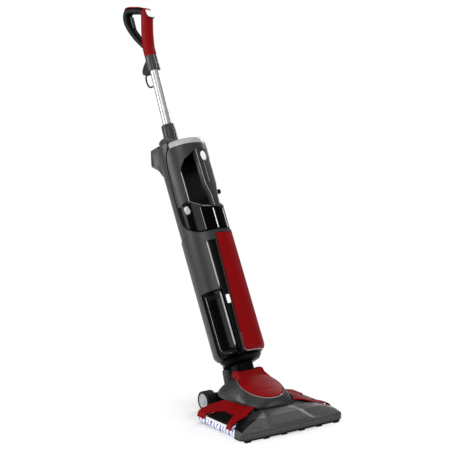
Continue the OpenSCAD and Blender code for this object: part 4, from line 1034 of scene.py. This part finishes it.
rings = []
for z, k in ((-1.0, 0.0), (0.0, 0.6), (1.5, 1.0), (42.0, 1.0)):
    ring = rounded(30, 30, 12.5, 12) / 30 * (np.interp(z, (0, 42), (34.2, 31.4)) - 1.6 * (1 - k))
    ring[:, 1] += 1.3 * np.exp(-(ring[:, 0] / 2.4) ** 2) * (ring[:, 1] < 0)
    rings.append(level(ring, z))
build("sleeve", capped(rings), on_sleeve, GRAPHITE_ABS, "column", replaces=("handle_sleeve",))
# The collar's groove and lines go on up the sleeve: painted shade down the middle and painted
# highlights beside it
z = np.linspace(1, 41.5, 20)
for word, x, size, sunk, material in (("48", -5.2, 0.8, -0.1, PALE_TRIM_AND_HIGHLIGHT),
                                      ("100", 0.0, 1.2, 0.5, BLACK_ABS_AND_SHADE),
                                      ("152", 5.2, 0.8, -0.1, PALE_TRIM_AND_HIGHLIGHT)):
    path = np.column_stack([np.full(20, x), sunk - np.interp(z, (0, 42), (16.9, 15.6)), z])
    line_bead = bead(path, size, (1.0, 0, 0), (0, -0.45, 0))
    build("sleeve_line_" + word, [(line_bead, True, False)], on_sleeve, material, "column")
block = curve([(12, -6), (33, -3), (37.5, 3), (37, 10), (28, 23), (15, 34)], 40)
block = np.concatenate([block, ((10, 36), (10, -6))])
for side, word in SIDES:
    build("hook_cheek_" + word, capped(upright(block, (side * 3.7, side * 8.0))), on_sleeve, BLACK_ABS_AND_SHADE,
          "column", soft=0.9)
core = ((10, 12.2), (24, 12.2), (27, 13), (22, 26), (14, 35), (10, 35))
build("hook_block", capped(upright(core, (-3.8, 3.8))), on_sleeve, BLACK_ABS_AND_SHADE, "column", soft=0.4)
# The wire runs down from its pin and round towards the pole
wire = curve([(0, 23, 4), (0, 28.5, -1), (0, 35, -8), (0, 36.5, -20), (0, 34, -33), (0, 28, -40),
              (0, 18.0, -42)], 70)
across = np.array((1.0, 0, 0))
hook = bead(wire, 2.4, across, np.cross(unit(np.gradient(wire, axis=0)), across), 16)
pin = lathe(((0.001, -7), (1.5, -7), (1.5, 7), (0.001, 7)), 16, (0.0, 23.0, 4.0), "x")
build("hook_wire", capped(np.swapaxes(hook, 0, 1)) + [(pin, True, False)], on_sleeve, BLACK_ABS_AND_SHADE,
      "cord_hook", replaces=("cord_hook",))

# ---- Handle ----
# The red ABS grip and the black ABS loop are two mouldings screwed together on the pole. A white
# power button sits on the sloping top of the grip, and a trigger inside the loop.
# The groove's floor is the grip's own red, drawn as dark as it looks in shade.
DARK_RED = moulded("dark_red_groove", "#4a0709", 0.35, 0.05, 2.0, coat=0.2)
GRIP, GRIP_TOP = 270.0, 112.0


def on_grip(p):
    """Grip frame: the pole frame from the grip's foot."""
    return on_pole(p + (0, 0, GRIP))


def cut_back(z):
    """Sloping face at the top of the grip, which the power button sits on."""
    return np.interp(z, (81, 90, 122), (-41.0, -35.0, -27.5))


# Grip: a rounded section carried up the bent stem, with a groove down its front
stem = curve([(0, 0, -13), (0, 0.1, 0), (0, 0, 14), (0, -3, 32), (0, -8, 56), (0, -15, 80),
              (0, -21, 99), (0, -24, GRIP_TOP)], 80)
ring = rounded(29, 29, 12.0, 14) / 29
rings = []
for point, s in zip(stem, np.linspace(0, 1, 80)):
    x, y = ring.T * np.interp(s, (0, 0.08, 0.5, 0.85, 1), (31.4, 32.4, 32.2, 33.0, 32.6))
    dent = 1.5 * np.exp(-(x / 2.0) ** 2) * (y < 0) * np.clip((0.86 - s) * 12, 0, 1)
    y = np.maximum(y + dent + point[1], cut_back(point[2]))
    rings.append(level(np.stack([x, y], axis=1), point[2]))
for up, shrink in ((3.5, 0.985), (6.2, 0.93), (8.2, 0.84), (9.6, 0.7), (10.2, 0.5)):
    x, y = ring.T * 32.6 * shrink
    y = np.maximum(y - 24 - 0.35 * up, cut_back(GRIP_TOP + up))
    rings.append(level(np.stack([x, y], axis=1), GRIP_TOP + up))
build("grip_shell", capped(rings), on_grip, RED_ABS, "column", replaces=("handle_grip",))
z = np.linspace(-10, 84, 50)
path = np.column_stack([np.zeros(50), np.interp(z, stem[:, 2], stem[:, 1]) - 15.2, z])
line_bead = bead(path, 1.5, (1.0, 0, 0), (0, -0.3, 0))
build("grip_groove", [(line_bead, True, False)], on_grip, DARK_RED, "column")

# Loop: black bar from the top of the grip, back, down and in again to its foot
loop = curve([(0, -18, 114), (0, -6, 122.5), (0, 12, 131), (0, 30, 138.5), (0, 42, 138.5),
              (0, 48.6, 128), (0, 50, 112), (0, 46.5, 94), (0, 39, 74), (0, 29, 53), (0, 17, 33),
              (0, 8, 19)], 120)
normals = np.cross(unit(np.gradient(loop, axis=0)), across)
ring = rounded(27, 18.4, 6.5, 10)
rings = []
for point, normal, s in zip(loop, normals, np.linspace(0, 1, 120)):
    # A slot in the inner face takes the trigger when it is squeezed
    sink = 9.0 * (84 < point[2] < 124) * (s > 0.4)
    notch = ((6.6, 9.2), (6.6, 9.2 - sink), (-6.6, 9.2 - sink), (-6.6, 9.2))
    x, y = np.concatenate([ring[:10], notch, ring[10:]]).T[:, :, None]
    y = y * np.interp(s, (0, 0.3, 0.5, 0.8, 1), (1, 1, 1.05, 0.88, 0.8))
    rings.append(point + x * across + y * normal)
build("loop_bar", turned_over(capped(rings)), on_grip, BLACK_ABS_AND_SHADE, "column", replaces=("handle_loop",))
# Red strip on the outer face, along the top of the loop
x, y = rounded(27.4, 3.4, 1.6, 5).T[:, :, None]
rings = [point + x * across + (y + (8.9 if normal[2] > 0 else -8.9)) * normal
         for point, normal in zip(loop[8:42], normals[8:42])]
build("loop_strip", turned_over(capped(rings)), on_grip, RED_ABS, "column")
# Trigger on the inner face of the loop's rear bar
rings = [level(rounded(11.5, 6.6 * k, 2.2 * k, 6) + (0, 33.6), z)
         for z, k in ((86.5, 0.7), (89, 0.95), (95, 1.0), (114, 1.0), (119, 0.95), (121.5, 0.7))]
build("trigger", capped(rings), on_grip, GRAPHITE_ABS, "spray_trigger", replaces=("spray_trigger",))


def on_seat(p):
    """Frame of the power button: Y into the grip, tilted with its sloping face."""
    return on_grip(about_x(p, np.radians(-13.2)) + (0, cut_back(103.0), 103.0))


# Power button: white pad in a black bezel
for word, w, h, back, out, material, body, take in (
        ("power_bezel", 31.0, 27.5, 1.5, 1.0, BLACK_ABS_AND_SHADE, "column", ()),
        ("power_pad", 26.4, 23.4, 1.0, 3.2, WHITE_ABS_AND_HIGHLIGHT, "power_button", ("power_button",))):
    rings = [facing(rounded(w, h, 5.0) * k, y)
             for y, k in ((back, 1.0), (0.7 - out, 1.0), (0.2 - out, 0.97), (-out, 0.9))]
    build(word, capped(rings), on_seat, material, body, replaces=take)
